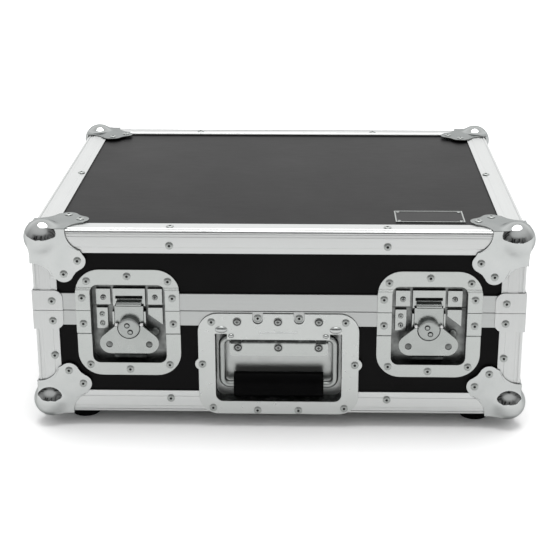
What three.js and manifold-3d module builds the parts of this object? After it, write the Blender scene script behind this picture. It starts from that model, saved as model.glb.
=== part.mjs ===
// A flight case for a record turntable: plywood panels held in aluminium edge extrusions, ball
// corners, a hinged lid, two recessed butterfly latches and a recessed sprung handle.
// Millimetres, +Z up. The front faces -Y, and the feet stand on Z = 0.
import * as THREE from "three";
import { mergeVertices } from "three/addons/utils/BufferGeometryUtils.js";
import Module from "manifold-3d";

const wasm = await Module();
wasm.setup();

// The case, measured over its edge extrusions
const caseWidth = 520;
const caseDepth = 440;
const baseHeight = 118.4;
const lidHeight = 89.6;
const footHeight = 16;

// Clearances
const seatGap = 0.3; // between pieces that are riveted or rest together
const runGap = 0.4; // between pieces that turn or slide past each other
const partingGap = 0.4; // between the closed lid and the base
const cutOver = 2; // how far a cut runs past the face that it opens

// Panels
const plyThickness = 7;

// Edge extrusions
const legWidth = 25.4;
const legThickness = 2;
const innerReach = 20;
const innerThickness = 1.4;
const beadRadius = 2.6;
const grooveStart = 3.4;
const grooveWidth = 1;
const grooveDepth = 0.8;
const bandDrop = 0.4;
const bandStart = 7.6;
const bandEnd = 18.6;
const vertexNotch = 8;

// Parting extrusions, which locate the lid on the base
const lidRimHeight = 19.3;
const baseRimHeight = 16.8;
const rimInnerReach = 14;
const rimWeb = 1.8;
const tongueStart = 4.2;
const tongueWidth = 3;
const tongueHeight = 4;
const tongueClearance = 0.7;

// Ball corners
const ballRadius = 19.5;
const ballInset = 11;
const cornerSheet = 1.2;
const cornerReach = 37;
const scallopRadius = 23.7;
const lobeAlong = 47.2;
const lobeIn = 33.8;
const lobeRadius = 10.6;
const lobeNotch = 46.8;

// Joint braces over the parting line
const braceSheet = 1.2;
const braceReach = 31;
const lidBraceHeight = 22.5;
const baseBraceHeight = 21.2;
const braceRound = 9;

// Feet
const footRadius = 15.4;
const footTopRadius = 14.6;
const footInsetX = 44;
const footInsetY = 36;
const footScrewRadius = 4;
const footScrewDepth = 7;

// Latches: dish, keeper, hook, hub and wing
const latchInset = 100;
const latchSheet = 1.2;
const latchOpenHalf = 39.8;
const latchOpenTop = 28.5;
const latchSideFlange = 15.5;
const latchTopFlange = 17.1;
const latchBottomFlange = 14.4;
const latchCornerRadius = 26;
const lidJoggleGap = 5.1;
const baseJoggleGap = 9.8;
const latchOpenRadius = 8;
const latchDepth = 16;
const hubDrop = 20.4;
const hubRadius = 11.3;
const hubFront = -0.2;
const shaftRadius = 5.5;
const wingLobeRadius = 12;
const wingLobeSlope = 41.4;
const wingRoom = 1.2;
const wingShoulder = 15;
const wingPivotRise = 2.2;
const wingPivotDepth = 3.2;
const wingFront = 0.6;
const wingSheet = 2;
const wingHoleRadius = 3.3;
const wingHoleOut = 1.9;
const eyeRadius = 2.2;
const eyeInner = 12.2;
const wingPinRadius = 0.9;
const hookFront = 7;
const hookSheet = 2;
const hookHalfWidth = 15.4;
const hookTop = 2.2;
const hookTail = 3;
const hookTravel = 8;
const lipRadius = 2.9;
const lipHalfWidth = 13.4;
const lipRise = 4.6;
const lipDepth = 7.4;
const keeperHalfWidth = 17.3;
const keeperFront = 11;
const keeperBottom = 0.8;
const keeperTop = 20.8;
const keeperSlotHalf = 14.5;
const keeperSlotBottom = 9.2;
const keeperSlotHeight = 3.2;
const keeperSlotDepth = 3.5;
const padFront = 12.2;
const padInner = 20;
const padSideGap = 4.3;
const lidPadBottom = 2.1;
const lidPadTop = 20;
const basePadInner = 23.5;
const basePadTop = 1.5;
const basePadBottom = 25.5;
const slopePadLow = 20.8;
const slopePadHigh = 8.8;
const guideWidth = 2;
const guideTop = 4;
const guideBottom = 36;
const restHalfWidth = 17.3;
const restGap = 3.1;
const restHeight = 3.5;
const restFront = 8;

// Handle: dish with its front plate, clamp plate, bail and grip
const handleSheet = 1.5;
const handleSideGap = 18.7;
const handleBottom = -0.6;
const handleTopGap = 2.2;
const handleCornerRadius = 21;
const handleNotchRadius = 5.6;
const handleNotchAcross = 22;
const handleNotchDrop = 6;
const sideEarRadius = 7;
const handleFlange = 18.2;
const handleOpenBottom = 14.4;
const handleOpenRadius = 8;
const handleDepth = 17;
const traySheet = 1.2;
const trayRimGap = 0.5;
const openTopDrop = 6.6;
const coverDrop = 13.2;
const coverSideGap = 12.8;
const bailRadius = 3.75;
const bailSideGap = 7;
const bailPivotDrop = 13.6;
const bailDepth = 6;
const bailBend = 8;
const bailOverhang = 1;
const gripBottomGap = 2.8;
const gripEndGap = 12.2;
const gripHalfHeight = 14.5;
const gripHalfDepth = 9;
const clampSideGap = 2.5;
const clampDrop = 25;
const clampSheet = 2;
const clampBack = 16;
const clampCornerRadius = 4;
const saddleSideGap = 9.8;
const saddleWidth = 11;
const saddleHalfHeight = 5.6;
const saddleFront = 1.4;

// Rear hinges
const hingeInset = 110;
const hingeHalfWidth = 30;
const hingeSheet = 1.8;
const hingeLeaf = 40;
const hingeJoggle = 24.4;
const hingeCornerRadius = 6;
const hingeOffset = 4.6;
const hingeRise = 1.5;
const barrelRadius = 3.1;
const pinRadius = 1.5;
const knuckleHalf = 12;

// Foam
const foamWall = 21;
const foamWallFront = 31;
const foamFloor = 15;
const lidFoamRoof = 14;
const foamPartingDrop = 3;
const foamRadius = 12;
const foamPocketGap = 1.5;

// Heights and depths that follow from the sizes above
const parting = footHeight + baseHeight;
const lidTop = parting + lidHeight;
const frontFace = -caseDepth / 2;
const panelFace = legThickness + seatGap;
const panelBack = panelFace + plyThickness;
const slotOffset = panelBack + seatGap;
const blockSize = slotOffset + innerThickness;
const panelEdge = blockSize + seatGap;
const halfParting = partingGap / 2;
const grooveTop = tongueHeight + tongueClearance;
const lidPanelFoot = grooveTop + rimWeb + seatGap;
const basePanelHead = halfParting + rimWeb + seatGap;
const footAcross = caseWidth / 2 - footInsetX;
const footDeep = caseDepth / 2 - footInsetY;
const hingeAcross = caseWidth / 2 - hingeInset;
const latchAcross = caseWidth / 2 - latchInset;
const latchHalfWidth = latchOpenHalf + latchSideFlange;
const latchTop = latchOpenTop + latchTopFlange;
const latchOpenBottom = hubDrop + latchOpenHalf + runGap;
const latchBottom = latchOpenBottom + latchBottomFlange;
const lidJoggle = lidRimHeight + lidJoggleGap;
const baseJoggle = baseRimHeight + baseJoggleGap;
const padOuter = latchOpenHalf - padSideGap;
const restBottom = latchOpenBottom - restGap;
const restTop = restBottom - restHeight;
const wingLobeReach = latchOpenHalf - wingRoom - wingLobeRadius;
const latchPocketHalf = latchOpenHalf + latchSheet + seatGap;
const latchPocketDepth = latchDepth + latchSheet + seatGap;
const handleHalfWidth = latchAcross - latchHalfWidth - handleSideGap;
const handleTop = baseHeight - handleTopGap;
const sideEarRise = (handleBottom + handleTop) / 2;
const handleOpenHalf = handleHalfWidth - handleFlange;
const handlePocketHalf = handleOpenHalf + traySheet + seatGap;
const trayTop = baseHeight - baseRimHeight - seatGap - traySheet - trayRimGap;
const handleOpenTop = trayTop - openTopDrop;
const coverHalfWidth = handleOpenHalf - coverSideGap;
const coverBottom = trayTop - coverDrop;
const bailAcross = handleOpenHalf - bailSideGap;
const bailPivotRise = trayTop - bailPivotDrop;
const gripRise = handleOpenBottom + gripBottomGap + gripHalfHeight;
const gripHalfLength = bailAcross - gripEndGap;
const saddleOuter = bailAcross - saddleSideGap;
const saddleInner = saddleOuter - saddleWidth;
const bailEnd = saddleInner - bailOverhang;
const clampHalfWidth = saddleOuter + clampSideGap;
const clampBottom = bailPivotRise - clampDrop;

const circleSteps = 28;
const quarterTurn = Math.PI / 2;
const mergeTolerance = 1e-4;
const quarterDegrees = 90;
const scallopEndAngle = 104;
const lobeStartAngle = -38;
const lobeEndAngle = 68;

// Solids

function flipIfInside(points, triangles) {
  const [a, b, c] = [new THREE.Vector3(), new THREE.Vector3(), new THREE.Vector3()];
  let volume = 0;
  for (const [i, j, k] of triangles) {
    a.fromArray(points, i * 3);
    b.fromArray(points, j * 3);
    c.fromArray(points, k * 3);
    volume += a.dot(b.cross(c));
  }
  return volume < 0 ? triangles.map(([i, j, k]) => [i, k, j]) : triangles;
}

function solid(geometry) {
  const bare = geometry.clone();
  bare.deleteAttribute("normal");
  bare.deleteAttribute("uv");
  const merged = mergeVertices(bare, mergeTolerance);
  const points = merged.attributes.position.array;
  const corners = Array.from(merged.index.array);
  let triangles = [];
  for (let at = 0; at < corners.length; at += 3) triangles.push(corners.slice(at, at + 3));
  triangles = triangles.filter(([i, j, k]) => i !== j && j !== k && k !== i);
  triangles = flipIfInside(points, triangles);
  return new wasm.Manifold(new wasm.Mesh({
    numProp: 3,
    vertProperties: new Float32Array(points),
    triVerts: new Uint32Array(triangles.flat()),
  }));
}

function joined(first, ...others) {
  return others.reduce((whole, part) => whole.add(part), first);
}

function cut(body, ...tools) {
  return tools.reduce((whole, tool) => whole.subtract(tool), body);
}

function block([x0, x1], [y0, y1], [z0, z1]) {
  const geometry = new THREE.BoxGeometry(x1 - x0, y1 - y0, z1 - z0);
  geometry.translate((x0 + x1) / 2, (y0 + y1) / 2, (z0 + z1) / 2);
  return solid(geometry);
}

// An outline extruded along an axis: its points are the other two coordinates, in x, y, z order
function prism(axis, outline, [start, end]) {
  const shape = new THREE.Shape(outline.map(([a, b]) => new THREE.Vector2(a, b)));
  const geometry = new THREE.ExtrudeGeometry(shape, { depth: end - start, bevelEnabled: false });
  if (axis === "z") geometry.translate(0, 0, start);
  if (axis === "y") geometry.rotateX(quarterTurn).translate(0, end, 0);
  if (axis === "x") {
    geometry.applyMatrix4(new THREE.Matrix4().set(0, 0, 1, start, 1, 0, 0, 0, 0, 1, 0, 0, 0, 0, 0, 1));
  }
  return solid(geometry);
}

function arc([a, b], radius, from, to, steps) {
  return Array.from({ length: steps + 1 }, (_, step) => {
    const angle = THREE.MathUtils.degToRad(from + (to - from) * step / steps);
    return [a + radius * Math.cos(angle), b + radius * Math.sin(angle)];
  });
}

function rod(axis, radius, [start, end], centre, steps = circleSteps) {
  return prism(axis, arc(centre, radius, 0, 360, steps).slice(1), [start, end]);
}

// A rectangle whose four corner radii run anticlockwise from low, low
function rounded([a0, a1], [b0, b1], radii, steps = 9) {
  const [r0, r1, r2, r3] = radii;
  const corner = (centre, radius, from) => (radius ? arc(centre, radius, from, from + quarterDegrees, steps) : [centre]);
  return [
    ...corner([a0 + r0, b0 + r0], r0, 180),
    ...corner([a1 - r1, b0 + r1], r1, 270),
    ...corner([a1 - r2, b1 - r2], r2, 0),
    ...corner([a0 + r3, b1 - r3], r3, 90),
  ];
}

function lathe(profile, steps) {
  const geometry = new THREE.LatheGeometry(profile.map(([r, z]) => new THREE.Vector2(r, z)), steps);
  return solid(geometry.rotateX(quarterTurn));
}

// A mitred frame round the case: the profile's points are inset from the faces, and height
function frameRing(profile) {
  const closed = [...profile, profile[0]];
  const points = closed.map(([inset, z]) => new THREE.Vector2((caseDepth / 2 - inset) * Math.SQRT2, z));
  const geometry = new THREE.LatheGeometry(points, 4, quarterTurn / 2).rotateX(quarterTurn);
  const place = geometry.attributes.position;
  const stretch = (caseWidth - caseDepth) / 2;
  for (let at = 0; at < place.count; at += 1) {
    place.setX(at, place.getX(at) + Math.sign(place.getX(at)) * stretch);
  }
  return solid(geometry);
}

// Materials

const finish = (color, metalness, roughness) => () =>
  new THREE.MeshStandardMaterial({ color, metalness, roughness, flatShading: true });
const laminate = finish(0x141416, 0, 0.42);
const aluminium = finish(0xd3d6d6, 1, 0.34);
const chrome = finish(0xcfd3d4, 1, 0.12);
const zincSteel = finish(0xc4c9c8, 1, 0.26);
const grip = finish(0x0c0c0d, 0, 0.5);
const rubber = finish(0x101011, 0, 0.8);
const foam = finish(0x1b1b1d, 0, 0.98);

const flightCase = new THREE.Group();

function toGeometry(body) {
  const mesh = body.getMesh();
  const geometry = new THREE.BufferGeometry();
  geometry.setAttribute("position", new THREE.BufferAttribute(Float32Array.from(mesh.vertProperties), 3));
  geometry.setIndex(Array.from(mesh.triVerts));
  geometry.computeVertexNormals();
  return geometry;
}

function addPart(name, body, material, parent = flightCase) {
  const mesh = new THREE.Mesh(toGeometry(body), material());
  mesh.name = name;
  parent.add(mesh);
  return mesh;
}

function addGroup(parent, [x, y, z], turn = 0) {
  const group = new THREE.Group();
  group.position.set(x, y, z);
  group.rotation.z = turn;
  parent.add(group);
  return group;
}

// Edge extrusions: an angle with a bead at its corner, a raised band on each leg and two slots

function edgeHalf() {
  const grooveEnd = grooveStart + grooveWidth;
  return [
    [0, beadRadius],
    [0, grooveStart],
    [grooveDepth, grooveStart],
    [grooveDepth, grooveEnd],
    [bandDrop, grooveEnd],
    [bandDrop, bandStart - bandDrop],
    [0, bandStart],
    [0, bandEnd],
    [bandDrop, bandEnd + bandDrop],
    [bandDrop, legWidth],
    [legThickness, legWidth],
    [legThickness, blockSize],
    [slotOffset, blockSize],
    [slotOffset, innerReach],
    [blockSize, innerReach],
  ];
}

function edgeProfile() {
  const half = edgeHalf();
  const bead = arc([beadRadius, beadRadius], beadRadius, 270, 180, 3).slice(1, -1);
  return [...half.map(([a, b]) => [b, a]).reverse(), ...bead, ...half, [blockSize, blockSize]];
}

// The notch at each of the four corners of a ring, which the ball corner fills
function ringNotches([z0, z1]) {
  const signs = [[-1, -1], [1, -1], [1, 1], [-1, 1]];
  return signs.map(([sx, sy]) => {
    const x = sx * caseWidth / 2;
    const y = sy * caseDepth / 2;
    const xs = [x - sx * vertexNotch, x + sx * cutOver].sort((a, b) => a - b);
    const ys = [y - sy * vertexNotch, y + sy * cutOver].sort((a, b) => a - b);
    return block(xs, ys, [z0, z1]);
  });
}

function handlePocket(bottom) {
  const depth = handleDepth + traySheet + seatGap;
  return block(
    [-handlePocketHalf, handlePocketHalf],
    [frontFace - cutOver, frontFace + depth],
    [bottom, footHeight + trayTop + traySheet + seatGap],
  );
}

function lidEdgeFrame() {
  const ring = frameRing(edgeProfile().map(([inset, drop]) => [inset, lidTop - drop]));
  return cut(ring, ...ringNotches([lidTop - vertexNotch, lidTop + cutOver]));
}

function baseEdgeFrame() {
  const ring = frameRing(edgeProfile().map(([inset, rise]) => [inset, footHeight + rise]));
  const pocketFloor = footHeight + handleOpenBottom - traySheet - seatGap;
  return cut(ring, ...ringNotches([footHeight - cutOver, footHeight + vertexNotch]), handlePocket(pocketFloor));
}

// Parting extrusions

function lidRimProfile() {
  const [inner, outer] = [tongueStart - tongueClearance, tongueStart + tongueWidth + tongueClearance];
  return [
    [0, halfParting],
    [inner, halfParting],
    [inner, grooveTop],
    [outer, grooveTop],
    [outer, halfParting],
    [blockSize, halfParting],
    [blockSize, rimInnerReach],
    [slotOffset, rimInnerReach],
    [slotOffset, grooveTop + rimWeb],
    [legThickness, grooveTop + rimWeb],
    [legThickness, lidRimHeight],
    [0, lidRimHeight],
  ];
}

function baseRimProfile() {
  return [
    [0, -halfParting],
    [tongueStart, -halfParting],
    [tongueStart, tongueHeight - halfParting],
    [tongueStart + tongueWidth, tongueHeight - halfParting],
    [tongueStart + tongueWidth, -halfParting],
    [blockSize, -halfParting],
    [blockSize, -rimInnerReach],
    [slotOffset, -rimInnerReach],
    [slotOffset, -halfParting - rimWeb],
    [legThickness, -halfParting - rimWeb],
    [legThickness, -baseRimHeight],
    [0, -baseRimHeight],
  ];
}

// A rim is one run round the sides and back, and one piece between the two latches
function rimPieces(profile) {
  const ring = frameRing(profile.map(([inset, z]) => [inset, parting + z]));
  const heights = [parting - baseRimHeight - cutOver, parting + lidRimHeight + cutOver];
  const depths = [frontFace - cutOver, frontFace + blockSize + cutOver];
  const outer = latchAcross + latchPocketHalf;
  const inner = latchAcross - latchPocketHalf;
  return {
    run: cut(ring, block([-outer, outer], depths, heights)),
    middle: ring.intersect(block([-inner, inner], depths, heights)),
  };
}

// Corner posts with their joint brace, seen from a corner at the origin with the case in +x, +y

function braceLeg(z0, z1, roundAtTop) {
  const low = roundAtTop ? 0 : braceRound;
  const high = roundAtTop ? braceRound : 0;
  const outline = rounded([-seatGap - braceSheet, braceReach], [z0, z1], [0, low, high, 0]);
  return prism("y", outline, [-seatGap - braceSheet, -seatGap]);
}

function brace(z0, z1, roundAtTop, seatStart, seatEnd) {
  const front = braceLeg(z0, z1, roundAtTop);
  const side = front.rotate([0, 0, 90]).mirror([1, 0, 0]);
  const depths = [-seatGap - braceSheet / 2, legThickness / 2];
  const frontSeat = block([bandStart, bandEnd], depths, [seatStart, seatEnd]);
  const sideSeat = block(depths, [bandStart, bandEnd], [seatStart, seatEnd]);
  return joined(front, side, frontSeat, sideSeat);
}

function lidPost() {
  const foot = parting + lidRimHeight + seatGap;
  const post = prism("z", edgeProfile(), [foot, lidTop - legWidth - seatGap]);
  const low = parting + halfParting;
  return joined(post, brace(low, parting + lidBraceHeight, true, foot, parting + lidBraceHeight));
}

function basePost() {
  const head = parting - baseRimHeight - seatGap;
  const post = prism("z", edgeProfile(), [footHeight + legWidth + seatGap, head]);
  const low = parting - baseBraceHeight;
  return joined(post, brace(low, parting - halfParting, false, low, head));
}

// Ball corner, seen from a corner of the case at the origin with the case in +x, +y, +z

function cornerOutline() {
  const out = -seatGap - cornerSheet;
  const scallop = arc([cornerReach + scallopRadius, 0], scallopRadius, 2 * quarterDegrees, scallopEndAngle, 7);
  const lobe = arc([lobeAlong, lobeIn], lobeRadius, lobeStartAngle, lobeEndAngle, 9);
  const half = [[cornerReach, out], ...scallop, ...lobe];
  return [[out, out], ...half, [lobeNotch, lobeNotch], ...half.map(([a, b]) => [b, a]).reverse()];
}

function ballCorner() {
  const out = seatGap + cornerSheet;
  const outline = cornerOutline();
  const plates = joined(...["x", "y", "z"].map((axis) => prism(axis, outline, [-out, -seatGap])));
  const sphere = new THREE.SphereGeometry(ballRadius, circleSteps, circleSteps / 2).rotateX(quarterTurn);
  const ball = solid(sphere.translate(ballInset, ballInset, ballInset));
  const reach = ballInset + ballRadius + cutOver;
  const notch = vertexNotch - seatGap;
  const caseCorner = block([-seatGap, reach], [-seatGap, reach], [-seatGap, reach]);
  const vertex = block([-seatGap, notch], [-seatGap, notch], [-seatGap, notch]);
  const tipSpan = [-out - cutOver, vertexNotch / 2];
  const tip = cut(block(tipSpan, tipSpan, tipSpan), ball);
  return joined(cut(ball, cut(caseCorner, vertex)), cut(plates, tip));
}

// Feet

function foot() {
  const height = footHeight - cornerSheet - 2 * seatGap;
  return lathe([
    [0, footScrewDepth],
    [footScrewRadius, footScrewDepth],
    [footScrewRadius, 0],
    [footTopRadius, 0],
    [footRadius, footRadius - footTopRadius],
    [footRadius, height],
    [0, height],
  ], circleSteps);
}

// Panels

function latchPocket(side, [z0, z1]) {
  const x = side * latchAcross;
  return block(
    [x - latchPocketHalf, x + latchPocketHalf],
    [frontFace - cutOver, frontFace + latchPocketDepth],
    [parting + z0, parting + z1],
  );
}

function sheetPanel(z0, z1) {
  const x = caseWidth / 2 - panelEdge;
  const y = caseDepth / 2 - panelEdge;
  return block([-x, x], [-y, y], [z0, z1]);
}

function frontWall(z0, z1) {
  const x = caseWidth / 2 - panelEdge;
  return block([-x, x], [frontFace + panelFace, frontFace + panelBack], [z0, z1]);
}

function sideWall(z0, z1) {
  const y = caseDepth / 2 - panelEdge;
  const face = caseWidth / 2;
  return block([face - panelBack, face - panelFace], [-y, y], [z0, z1]);
}

function addPanels(half, [z0, z1], [plateLow, plateHigh], plateName, ...frontCuts) {
  const wall = frontWall(z0, z1);
  addPart(`${half}_${plateName}_panel`, sheetPanel(plateLow, plateHigh), laminate);
  addPart(`${half}_front_panel`, cut(wall, ...frontCuts), laminate);
  addPart(`${half}_back_panel`, wall.mirror([0, 1, 0]), laminate);
  addPart(`${half}_right_panel`, sideWall(z0, z1), laminate);
  addPart(`${half}_left_panel`, sideWall(z0, z1).mirror([1, 0, 0]), laminate);
}

const lidPocketHeights = [-cutOver, latchOpenTop + latchSheet + seatGap];
const basePocketHeights = [-latchOpenBottom - latchSheet - seatGap, cutOver];

addPanels(
  "lid",
  [parting + lidPanelFoot, lidTop - panelEdge],
  [lidTop - panelBack, lidTop - panelFace],
  "top",
  latchPocket(-1, lidPocketHeights),
  latchPocket(1, lidPocketHeights),
);
addPanels(
  "base",
  [footHeight + panelEdge, parting - basePanelHead],
  [footHeight + panelFace, footHeight + panelBack],
  "bottom",
  latchPocket(-1, basePocketHeights),
  latchPocket(1, basePocketHeights),
  handlePocket(footHeight),
);

addPart("lid_edge_frame", lidEdgeFrame(), aluminium);
addPart("base_edge_frame", baseEdgeFrame(), aluminium);
const lidRim = rimPieces(lidRimProfile());
const baseRim = rimPieces(baseRimProfile());
addPart("lid_rim", lidRim.run, aluminium);
addPart("lid_rim_front", lidRim.middle, aluminium);
addPart("base_rim", baseRim.run, aluminium);
addPart("base_rim_front", baseRim.middle, aluminium);

const cornerPlaces = [
  ["front_left", -1, -1, 0],
  ["front_right", 1, -1, quarterTurn],
  ["back_right", 1, 1, 2 * quarterTurn],
  ["back_left", -1, 1, -quarterTurn],
];
for (const [place, sx, sy, turn] of cornerPlaces) {
  const [x, y] = [sx * caseWidth / 2, sy * caseDepth / 2];
  const upright = addGroup(flightCase, [x, y, 0], turn);
  addPart(`lid_post_${place}`, lidPost(), aluminium, upright);
  addPart(`base_post_${place}`, basePost(), aluminium, upright);
  addPart(`base_corner_${place}`, ballCorner(), chrome, addGroup(flightCase, [x, y, footHeight], turn));
  const top = addGroup(flightCase, [x, y, lidTop], turn);
  addPart(`lid_corner_${place}`, ballCorner(), chrome, top).rotation.x = -quarterTurn;
  const stand = addGroup(flightCase, [sx * footAcross, sy * footDeep, 0]);
  addPart(`foot_${place}`, foot(), rubber, stand);
}

// Latches, seen from the front face (y = 0) at the parting line (z = 0)

// A sheet over the rim that steps back to the panel beyond a joggle, and all that lies behind it
function joggle(sheet, halfWidth, near, bend, far, back) {
  const over = -seatGap - sheet;
  const set = panelFace - seatGap - sheet;
  const run = Math.sign(far) * (set - over) / 2;
  const face = [[over, near], [over, bend - run], [set, bend + run], [set, far]];
  const rear = face.map(([y, z]) => [y + sheet, z]).reverse();
  const behind = [[back, far], [back, near]];
  return {
    skin: prism("x", [...face, ...rear], [-halfWidth, halfWidth]),
    space: prism("x", [...face, ...behind], [-halfWidth, halfWidth]),
  };
}

// Half a dish: its flange follows the outline, and its tray has walls one sheet thick
function dishHalf(flange, tray, hollow, bend, far) {
  const near = Math.sign(far) * halfParting;
  const back = latchDepth + latchSheet;
  const form = joggle(latchSheet, latchHalfWidth, near, bend, far, back);
  const skin = form.skin.intersect(prism("y", flange, [-cutOver - latchSheet, back]));
  const shell = prism("y", tray, [-cutOver - latchSheet, back]).intersect(form.space);
  return cut(joined(skin, shell), prism("y", hollow, [-2 * cutOver, latchDepth]));
}

function lidDish() {
  const r = latchCornerRadius;
  const inner = latchOpenRadius;
  const outer = inner + latchSheet;
  const half = latchOpenHalf + latchSheet;
  const flange = rounded([-latchHalfWidth, latchHalfWidth], [halfParting, latchTop], [0, 0, r, r]);
  const tray = rounded([-half, half], [halfParting, latchOpenTop + latchSheet], [0, 0, outer, outer], 6);
  const hollow = rounded([-latchOpenHalf, latchOpenHalf], [-cutOver, latchOpenTop], [0, 0, inner, inner], 6);
  const dish = dishHalf(flange, tray, hollow, lidJoggle, latchTop);
  const floor = latchDepth + latchSheet / 2;
  const keeper = block([-keeperHalfWidth, keeperHalfWidth], [keeperFront, floor], [keeperBottom, keeperTop]);
  const slot = block(
    [-keeperSlotHalf, keeperSlotHalf],
    [keeperFront - cutOver, keeperFront + keeperSlotDepth],
    [keeperSlotBottom, keeperSlotBottom + keeperSlotHeight],
  );
  const pads = [-1, 1].map((side) => {
    const xs = [side * padInner, side * padOuter].sort((a, b) => a - b);
    return block(xs, [padFront, floor], [lidPadBottom, lidPadTop]);
  });
  return joined(dish, cut(keeper, slot), ...pads);
}

function baseDish() {
  const r = latchCornerRadius;
  const inner = latchOpenRadius;
  const outer = inner + latchSheet;
  const half = latchOpenHalf + latchSheet;
  const low = -latchOpenBottom;
  const flange = rounded([-latchHalfWidth, latchHalfWidth], [-latchBottom, -halfParting], [r, r, 0, 0]);
  const tray = rounded([-half, half], [low - latchSheet, -halfParting], [outer, outer, 0, 0], 6);
  const hollow = rounded([-latchOpenHalf, latchOpenHalf], [low, cutOver], [inner, inner, 0, 0], 6);
  const dish = dishHalf(flange, tray, hollow, -baseJoggle, -latchBottom);
  const floor = latchDepth + latchSheet / 2;
  const leftPad = block([-padOuter, -basePadInner], [padFront, floor], [-basePadBottom, -basePadTop]);
  const slope = [[padInner, -basePadTop], [padInner, -slopePadHigh], [padOuter, -slopePadLow], [padOuter, -basePadTop]];
  const rightPad = prism("y", slope, [padFront, floor]);
  const guides = [-1, 1].map((side) => {
    const near = hookHalfWidth + runGap;
    const xs = [side * near, side * (near + guideWidth)].sort((a, b) => a - b);
    return block(xs, [hookFront, floor], [-guideBottom, -guideTop]);
  });
  const rest = block([-restHalfWidth, restHalfWidth], [restFront, floor], [-restBottom, -restTop]);
  const bore = rod("y", shaftRadius + runGap, [0, latchDepth + latchSheet + cutOver], [0, -hubDrop]);
  return cut(joined(dish, leftPad, rightPad, ...guides, rest), bore);
}

function hook() {
  const slotHalf = shaftRadius + runGap;
  const slotBottom = -hubDrop - hookTravel - slotHalf;
  const plate = block(
    [-hookHalfWidth, hookHalfWidth],
    [hookFront, hookFront + hookSheet],
    [slotBottom - hookTail, hookTop],
  );
  const slotOutline = rounded([-slotHalf, slotHalf], [slotBottom, -hubDrop + slotHalf], Array(4).fill(slotHalf));
  const lip = rod("x", lipRadius, [-lipHalfWidth, lipHalfWidth], [lipDepth, lipRise], 16);
  return joined(cut(plate, prism("y", slotOutline, [hookFront - cutOver, hookFront + hookSheet + cutOver])), lip);
}

function hub() {
  const hubBack = hookFront - seatGap;
  const boss = rod("y", hubRadius, [hubFront, hubBack], [0, -hubDrop], 32);
  const shaft = rod("y", shaftRadius, [hubBack - seatGap, latchDepth + latchSheet], [0, -hubDrop]);
  const pin = rod("x", wingPinRadius, [-wingShoulder, wingShoulder], [wingPivotDepth, wingPivotRise - hubDrop], 8);
  return joined(boss, shaft, pin);
}

function wing() {
  const slope = THREE.MathUtils.degToRad(wingLobeSlope);
  const lobeAcross = wingLobeReach * Math.cos(slope);
  const lobeDrop = wingLobeReach * Math.sin(slope);
  const rise = wingPivotRise + lobeDrop;
  const run = lobeAcross - wingShoulder;
  const tangent = THREE.MathUtils.radToDeg(Math.atan2(rise, run) + Math.acos(wingLobeRadius / Math.hypot(rise, run)));
  const left = arc([-lobeAcross, -hubDrop - lobeDrop], wingLobeRadius, tangent, 270, 11);
  const shoulder = [-wingShoulder, wingPivotRise - hubDrop];
  const side = [shoulder, ...left];
  const outline = [...side, ...side.map(([x, z]) => [-x, z]).reverse()];
  const plate = prism("y", outline, [wingFront, wingFront + wingSheet]);
  const hubHole = rod("y", hubRadius + 2 * runGap, [wingFront - cutOver, wingFront + wingSheet + cutOver], [0, -hubDrop], 32);
  const axis = [wingPivotDepth, wingPivotRise - hubDrop];
  const ends = [[-wingShoulder, -eyeInner], [eyeInner, wingShoulder]];
  const eyes = ends.map((span) => rod("x", eyeRadius, span, axis, 12));
  const bores = ends.map(([x0, x1]) => rod("x", wingPinRadius + runGap, [x0 - cutOver, x1 + cutOver], axis, 12));
  const holeReach = wingLobeReach + wingHoleOut;
  const holes = [-1, 1].map((sign) => rod(
    "y",
    wingHoleRadius,
    [wingFront - cutOver, wingFront + wingSheet + cutOver],
    [sign * holeReach * Math.cos(slope), -hubDrop - holeReach * Math.sin(slope)],
    16,
  ));
  return cut(joined(cut(plate, hubHole), ...eyes), ...bores, ...holes);
}

for (const [side, sign] of [["left", -1], ["right", 1]]) {
  const latch = addGroup(flightCase, [sign * latchAcross, frontFace, parting]);
  addPart(`${side}_latch_lid_dish`, lidDish(), zincSteel, latch);
  addPart(`${side}_latch_base_dish`, baseDish(), zincSteel, latch);
  addPart(`${side}_latch_hook`, hook(), zincSteel, latch);
  addPart(`${side}_latch_hub`, hub(), zincSteel, latch);
  addPart(`${side}_latch_wing`, wing(), zincSteel, latch);
}

// Handle, seen from the front face (y = 0) at the underside of the case (z = 0)

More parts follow.
